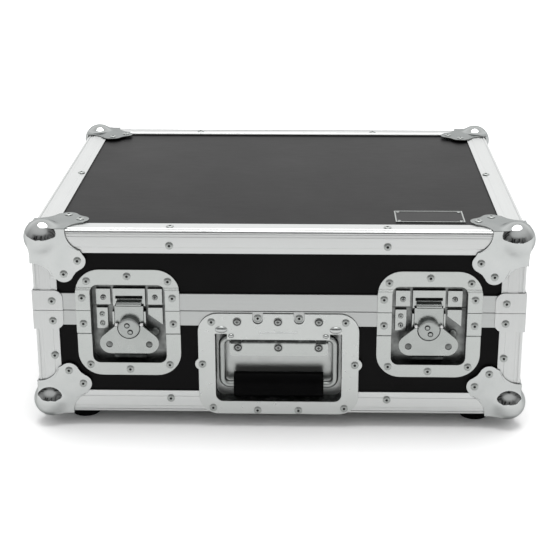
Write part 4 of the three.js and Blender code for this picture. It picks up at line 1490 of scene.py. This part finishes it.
@dataclass
class FoamSet:
    """The foam cradle in the base and the foam lining in the lid."""

    half_width: float = 248.7
    half_depth: float = 208.7
    wall: float = 21.0
    wall_front: float = 31.0
    corner: float = 12.0
    soft: float = 1.2
    cradle: Point = (27.3, 42.3)
    lining: Point = (212.7, 198.7)
    air: float = 3.0
    past: float = 5.0
    latch_room: Triple = (42.9, 71.0, 165.7)
    handle_room: Point = (70.9, 118.4)
    latch_back: float = 19.2
    handle_back: float = 19.8

    def block(self, low: float, high: float, hollow: Point) -> Piece:
        """A block of foam with its hollow.

        Args:
            low: its underside.
            high: its top.
            hollow: from where to where the hollow goes.

        Returns:
            The block.
        """
        x, y = self.half_width, self.half_depth
        blank = bevelled(box((-x, -y, low), (x, y, high)), self.soft, 2)
        inner = (x - self.wall, y - self.wall_front)
        room = box((-inner[0], -inner[1], hollow[0]), (inner[0], inner[1], hollow[1]))
        pick(room, lambda centre, normal: abs(normal.z) < 0.1)
        corners = room.data.vertices
        for edge in room.data.edges:
            rise = corners[edge.vertices[0]].co - corners[edge.vertices[1]].co
            edge.select = abs(rise.z) > MM
        for face in room.data.polygons:
            face.select = False
        bpy.context.tool_settings.mesh_select_mode = (False, True, False)
        bpy.ops.object.mode_set(mode="EDIT")
        bpy.ops.mesh.bevel(offset=self.corner * MM, segments=6, affect="EDGES")
        bpy.ops.object.mode_set(mode="OBJECT")
        return carved(blank, room)

    def pockets(self) -> list[Piece]:
        """Room for the backs of the latches and the handle.

        Returns:
            The cutters.
        """
        front, back = -self.half_depth - 3, -DEPTH / 2 + self.latch_back
        half, low, high = self.latch_room
        cutters = []
        for x in (-LATCH_ACROSS, LATCH_ACROSS):
            cutters.append(box((x - half, front, low), (x + half, back, high)))
        half, high = self.handle_room
        return cutters + [box((-half, front, GROUND), (half, -DEPTH / 2 + self.handle_back, high))]

    def build(self) -> None:
        """Both foams."""
        cradle = self.block(self.cradle[0], PARTING - self.air, (self.cradle[1], PARTING + self.past))
        lining = self.block(PARTING + self.air, self.lining[0], (PARTING - self.past, self.lining[1]))
        for piece, body in ((cradle, Body.BASE), (lining, Body.LID)):
            name = f"{body.value}_foam"
            carved(piece, *self.pockets())
            piece.name = f"{name}_block"
            finished(smoothed(piece, 30), body, Slot.FOAM, FOAM, name)


@dataclass
class Feet:
    """Four turned rubber feet, each with a screw recess."""

    across: float = 216.0
    deep: float = 184.0
    radius: float = 15.4
    height: float = 14.2
    recess: Point = (4.6, 7.0)
    ease: float = 0.9

    def build(self) -> None:
        """One foot, copied to each corner."""
        bore, sink = self.recess
        model = disc(self.radius, self.height, 40)
        stepped(model, (self.radius - bore, 0), sink=sink, facing=-1)
        smoothed(bevelled(model, self.ease, 3, 40))
        for corner, (sx, sy) in CORNERS.items():
            node = f"foot_{corner}"
            piece = copied(model, f"{node}_rubber", moved(sx * self.across, sy * self.deep, 0))
            finished(piece, Body.BASE, Slot.FOOT, FOOT, node)
        discard(model)


@dataclass
class NamePlate:
    """A bare plate on the lid's top: a thin metal tray with a black field and four rivets."""

    centre: Point = (161.0, -161.5)
    half: Point = (37.0, 19.8)
    border: float = 1.5
    sheet: float = 1.0
    sunk: float = 2.3
    field: float = 0.4
    rivet_in: float = 4.0
    rivet_rise: float = 0.6

    def build(self) -> None:
        """The tray, its field and its rivets."""
        x, y = self.centre
        a, b = self.half
        level = TOP - self.sunk
        tray = box((x - a, y - b, level), (x + a, y + b, level + self.sheet))
        stepped(tray, (self.border, 0), sink=self.field)
        toned(tray, RIVET, LACQUER, lambda centre, normal: (
            abs(centre.x - x) < a - 2 and abs(centre.y - y) < b - 2 and normal.z > 0.9))
        tray.name = "lid_name_plate"
        finished(smoothed(bevelled(tray, 0.25)), Body.LID, Slot.STEEL, RIVET)
        a, b, high = a - self.rivet_in, b - self.rivet_in, level + self.rivet_rise
        spots = [Face.TOP.at(x + sx * a, y + sy * b, high) for sx in (-1, 1) for sy in (-1, 1)]
        PLATE_POP.row("lid_name_plate_rivets", Body.LID, spots)


# The studio


@dataclass
class Studio:
    """The floor, the lamp, the world and the camera."""

    eye: Triple = (36.700, -1589.049, 667.988)
    yaw: float = -0.0255
    pitch: float = 0.3488
    roll: float = -0.0022
    focal: float = 1386.0
    frame_width: float = 560.0
    sensor: float = 36.0
    front_edge: float = 1.5
    floor_size: Point = (12.0, 10.0)
    paper: float = 0.88
    glow: float = 0.02
    sun_from: Triple = (0.03, 0.10, 1.0)
    sun_spread: float = 40.0
    sun_power: float = 2.1
    room: Triple = (0.42, 0.50, 0.70)
    dark_share: float = 0.97
    dark_height: float = 0.30
    bar_scale: Triple = (8.0, 8.0, 1.3)

    def camera(self) -> None:
        """Stands the camera where the case was seen from."""
        data = bpy.data.cameras.new("studio_camera")
        data.sensor_width = self.sensor
        data.lens = self.focal * self.sensor / self.frame_width
        data.clip_start = 0.05
        camera = bpy.data.objects.new("studio_camera", data)
        bpy.context.scene.collection.objects.link(camera)
        level = math.cos(self.pitch)
        ahead = Vector((math.sin(self.yaw) * level, math.cos(self.yaw) * level, -math.sin(self.pitch)))
        right = Vector((math.cos(self.yaw), -math.sin(self.yaw), 0))
        up = right.cross(ahead)
        c, s = math.cos(self.roll), math.sin(self.roll)
        stand = Matrix((c * right + s * up, c * up - s * right, -ahead)).transposed().to_4x4()
        stand.translation = Vector(self.eye) * MM
        camera.matrix_world = stand
        bpy.context.scene.camera = camera

    def floor(self) -> None:
        """A pale floor that shows white to the camera and keeps the case's shadow."""
        deselect()
        bpy.ops.mesh.primitive_plane_add(size=1)
        floor = bpy.context.object
        floor.scale = (*self.floor_size, 1.0)
        floor.location = (0, self.floor_size[1] / 2 - self.front_edge, 0)
        settle(floor)
        floor.name = "studio_floor"
        made = bpy.data.materials.new("studio_paper")
        made.use_nodes = True
        graph = Graph(made.node_tree)
        ray = graph.node("ShaderNodeLightPath")
        camera, glossy, through = (
            Value(graph, ray.outputs[f"Is {kind} Ray"]) for kind in ("Camera", "Glossy", "Transmission"))
        seen = (camera + glossy + through).clamped()
        paper = graph.node("ShaderNodeBsdfDiffuse", inputs={"Color": (*[self.paper] * 3, 1)})
        glow = graph.node("ShaderNodeEmission", inputs={"Color": (1, 1, 1, 1), "Strength": seen * self.glow})
        both = graph.node("ShaderNodeAddShader", inputs={0: paper.outputs[0], 1: glow.outputs[0]})
        graph.node("ShaderNodeOutputMaterial", inputs={"Surface": both.outputs[0]})
        floor.data.materials.append(made)

    def sun(self) -> None:
        """A broad, even light from above."""
        data = bpy.data.lights.new("overhead", "SUN")
        data.angle = math.radians(self.sun_spread)
        data.energy = self.sun_power
        lamp = bpy.data.objects.new("overhead", data)
        bpy.context.scene.collection.objects.link(lamp)
        lamp.rotation_euler = Vector(self.sun_from).to_track_quat("Z", "Y").to_euler()

    def world(self) -> None:
        """A white room, darker behind the camera, that shows plain white to the camera."""
        world = bpy.data.worlds.new("studio_room")
        bpy.context.scene.world = world
        world.use_nodes = True
        graph = Graph(world.node_tree)
        aim = graph.node("ShaderNodeTexCoord").outputs["Generated"]
        split = graph.node("ShaderNodeSeparateXYZ", inputs={0: aim}).outputs
        y, z = Value(graph, split[1]), Value(graph, split[2])
        front = (y * -3.0 - 1.4).clamped()
        rise = 1.0 - ((z - self.dark_height) * 5.0).clamped()
        upright = graph.node("ShaderNodeMapping", inputs={"Vector": aim, "Scale": self.bar_scale}).outputs[0]
        bars = ((graph.noise(1.0, 2.0, upright) - 0.42) * 7.0).clamped()
        dark = front * rise * (0.60 + 0.40 * bars)
        behind = (y * 1.5).clamped() * (1.0 - ((z - 0.5) * 2.5).clamped())
        around, above, rear = self.room
        level = around + above * (z * 1.3).clamped() + rear * behind
        room = level * (1.0 - dark * self.dark_share)
        ray = Value(graph, graph.node("ShaderNodeLightPath").outputs["Is Camera Ray"])
        strength = room * (1.0 - ray) + ray
        back = graph.node("ShaderNodeBackground", inputs={"Color": (1, 1, 1, 1), "Strength": strength})
        graph.node("ShaderNodeOutputWorld", inputs={"Surface": back.outputs[0]})

    def build(self) -> None:
        """The whole studio."""
        self.camera()
        self.floor()
        self.world()
        self.sun()
        bpy.context.scene.view_settings.view_transform = "Standard"


def main() -> None:
    """Builds the case piece by piece, in the studio."""
    logging.basicConfig(level=logging.INFO, format="%(message)s")
    Studio().build()
    for half, flat in ((Body.LID, "top"), (Body.BASE, "bottom")):
        Panels(half, flat).dress()
        extrusions = Extrusions(half)
        extrusions.build()
        extrusions.rivets()
    BallCorner().build()
    for side, sign in (("left", -1), ("right", 1)):
        ButterflyLatch(side, sign * LATCH_ACROSS).build()
    SprungHandle().build()
    for side, sign in (("left", -1), ("right", 1)):
        RearHinge(side, sign * HINGE_ACROSS).build()
    FoamSet().build()
    Feet().build()
    NamePlate().build()
    for fastener in FASTENERS:
        fastener.put_away()
    deselect()


if __name__ == "__main__":
    main()
